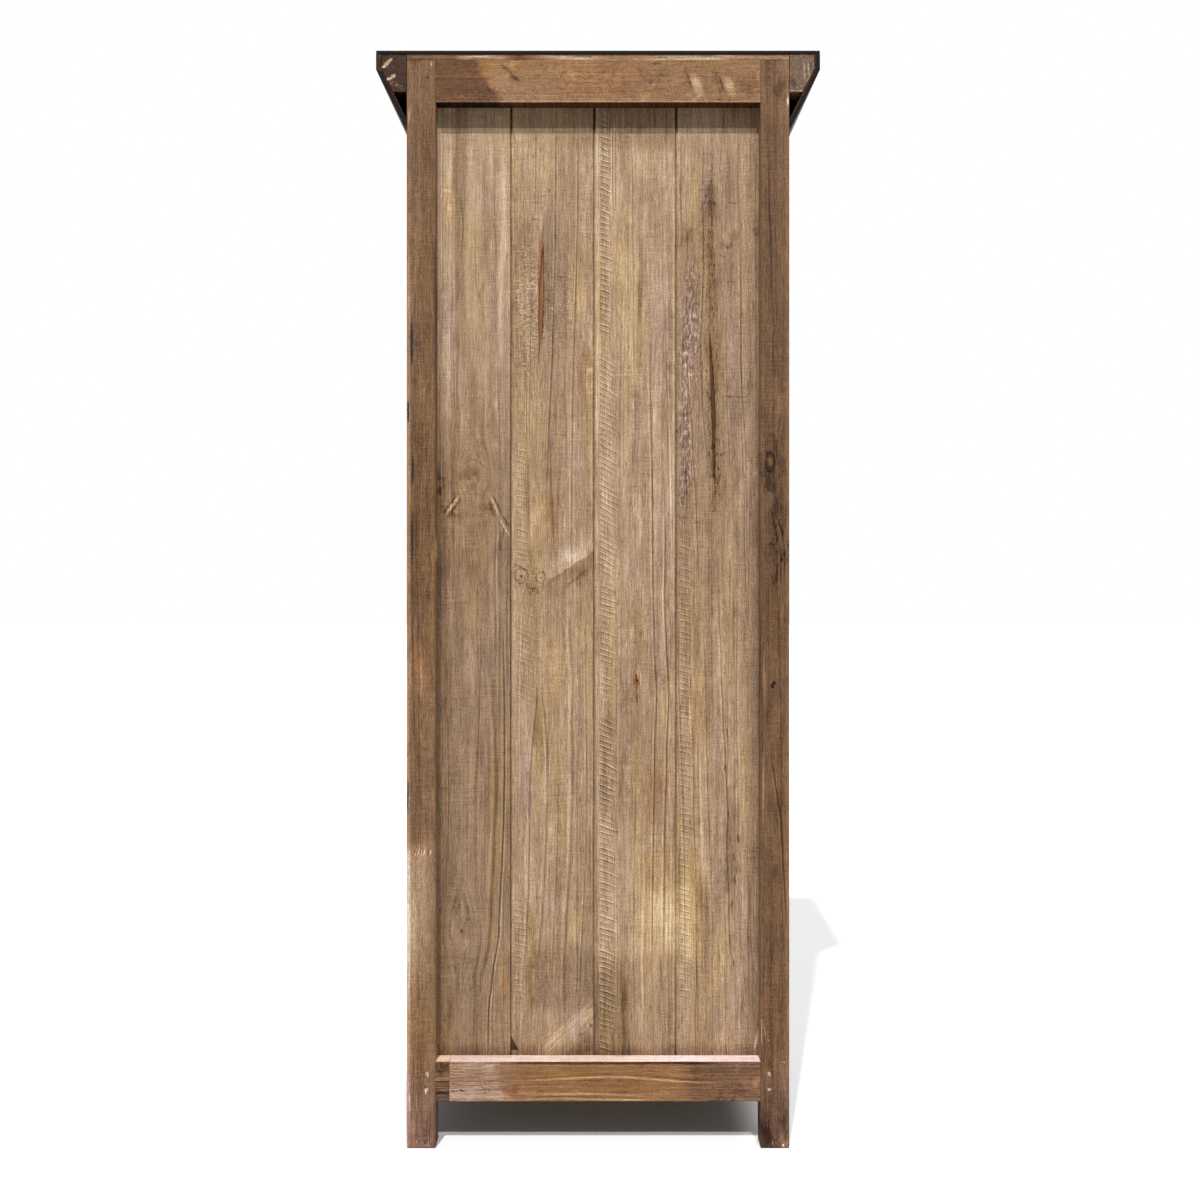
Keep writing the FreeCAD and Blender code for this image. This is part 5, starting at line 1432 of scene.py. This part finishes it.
# Floor, lamps and camera: a pale floor, two high lamps behind the cabinet and one before it, and a
# camera at the photographer's height and distance.
def stage_floor():
    bpy.ops.object.select_all(action="DESELECT")
    bpy.ops.mesh.primitive_plane_add(size=30.0, location=(0.0, 0.0, 0.0))
    floor = bpy.context.object
    floor.name = "studio_floor"
    made, place = new_material("pale_floor")
    pale = cloud(place, (2.0, 2.0, 2.0))
    direct = Shade(made.node_tree.nodes.new("ShaderNodeLightPath").outputs["Is Camera Ray"])
    seen = mix((0.79, 0.79, 0.79, 1.0), (0.8, 0.8, 0.8, 1.0), pale)
    colour = mix((0.22, 0.22, 0.22, 1.0), seen, direct)
    floor.data.materials.append(finish_material(made, colour, 0.9, pale, 0.0001))


def sun(name, towards, angle, strength):
    data = bpy.data.lights.new(name, "SUN")
    data.angle = math.radians(angle)
    data.energy = strength
    made = bpy.data.objects.new(name, data)
    bpy.context.scene.collection.objects.link(made)
    made.rotation_euler = towards.to_track_quat("Z", "Y").to_euler()


stage_floor()
sun("high_lamp", Vector((0.22, 1.0, 1.57)), 1.4, 2.85)
sun("low_lamp", Vector((-0.15, 1.0, 1.24)), 1.4, 1.48)
sun("front_lamp", Vector((-0.35, -0.75, 0.55)), 25.0, 2.3)

world = bpy.data.worlds.new("studio")
bpy.context.scene.world = world
world.use_nodes = True
tree = world.node_tree
tree.nodes.clear()
path = tree.nodes.new("ShaderNodeLightPath")
seen = Shade(path.outputs["Is Camera Ray"])
glossy = Shade(path.outputs["Is Glossy Ray"])
clear = Shade(path.outputs["Is Transmission Ray"])
white = seen.calc("MAXIMUM", seen, glossy.calc("MAXIMUM", glossy, clear))
level = 0.25 + white * 0.75
ambient = seen.node("Background", {}, {"Color": (1.0, 1.0, 1.0, 1.0), "Strength": level})
output = tree.nodes.new("ShaderNodeOutputWorld")
tree.links.new(ambient.socket, output.inputs["Surface"])

frame_width = 2.0
frame_middle = (-0.0033, 0.914)
camera_distance = 2.24
camera_height = 1.0

camera_data = bpy.data.cameras.new("camera")
camera = bpy.data.objects.new("camera", camera_data)
bpy.context.scene.collection.objects.link(camera)
camera.location = (frame_middle[0], cad_box[1][1] + camera_distance, camera_height)
camera.rotation_euler = (math.radians(90.0), 0.0, math.radians(180.0))
camera_data.sensor_width = 36.0
camera_data.lens = camera_data.sensor_width * camera_distance / frame_width
camera_data.shift_y = (frame_middle[1] - camera_height) / frame_width
bpy.context.scene.camera = camera
bpy.context.scene.view_settings.view_transform = "Standard"
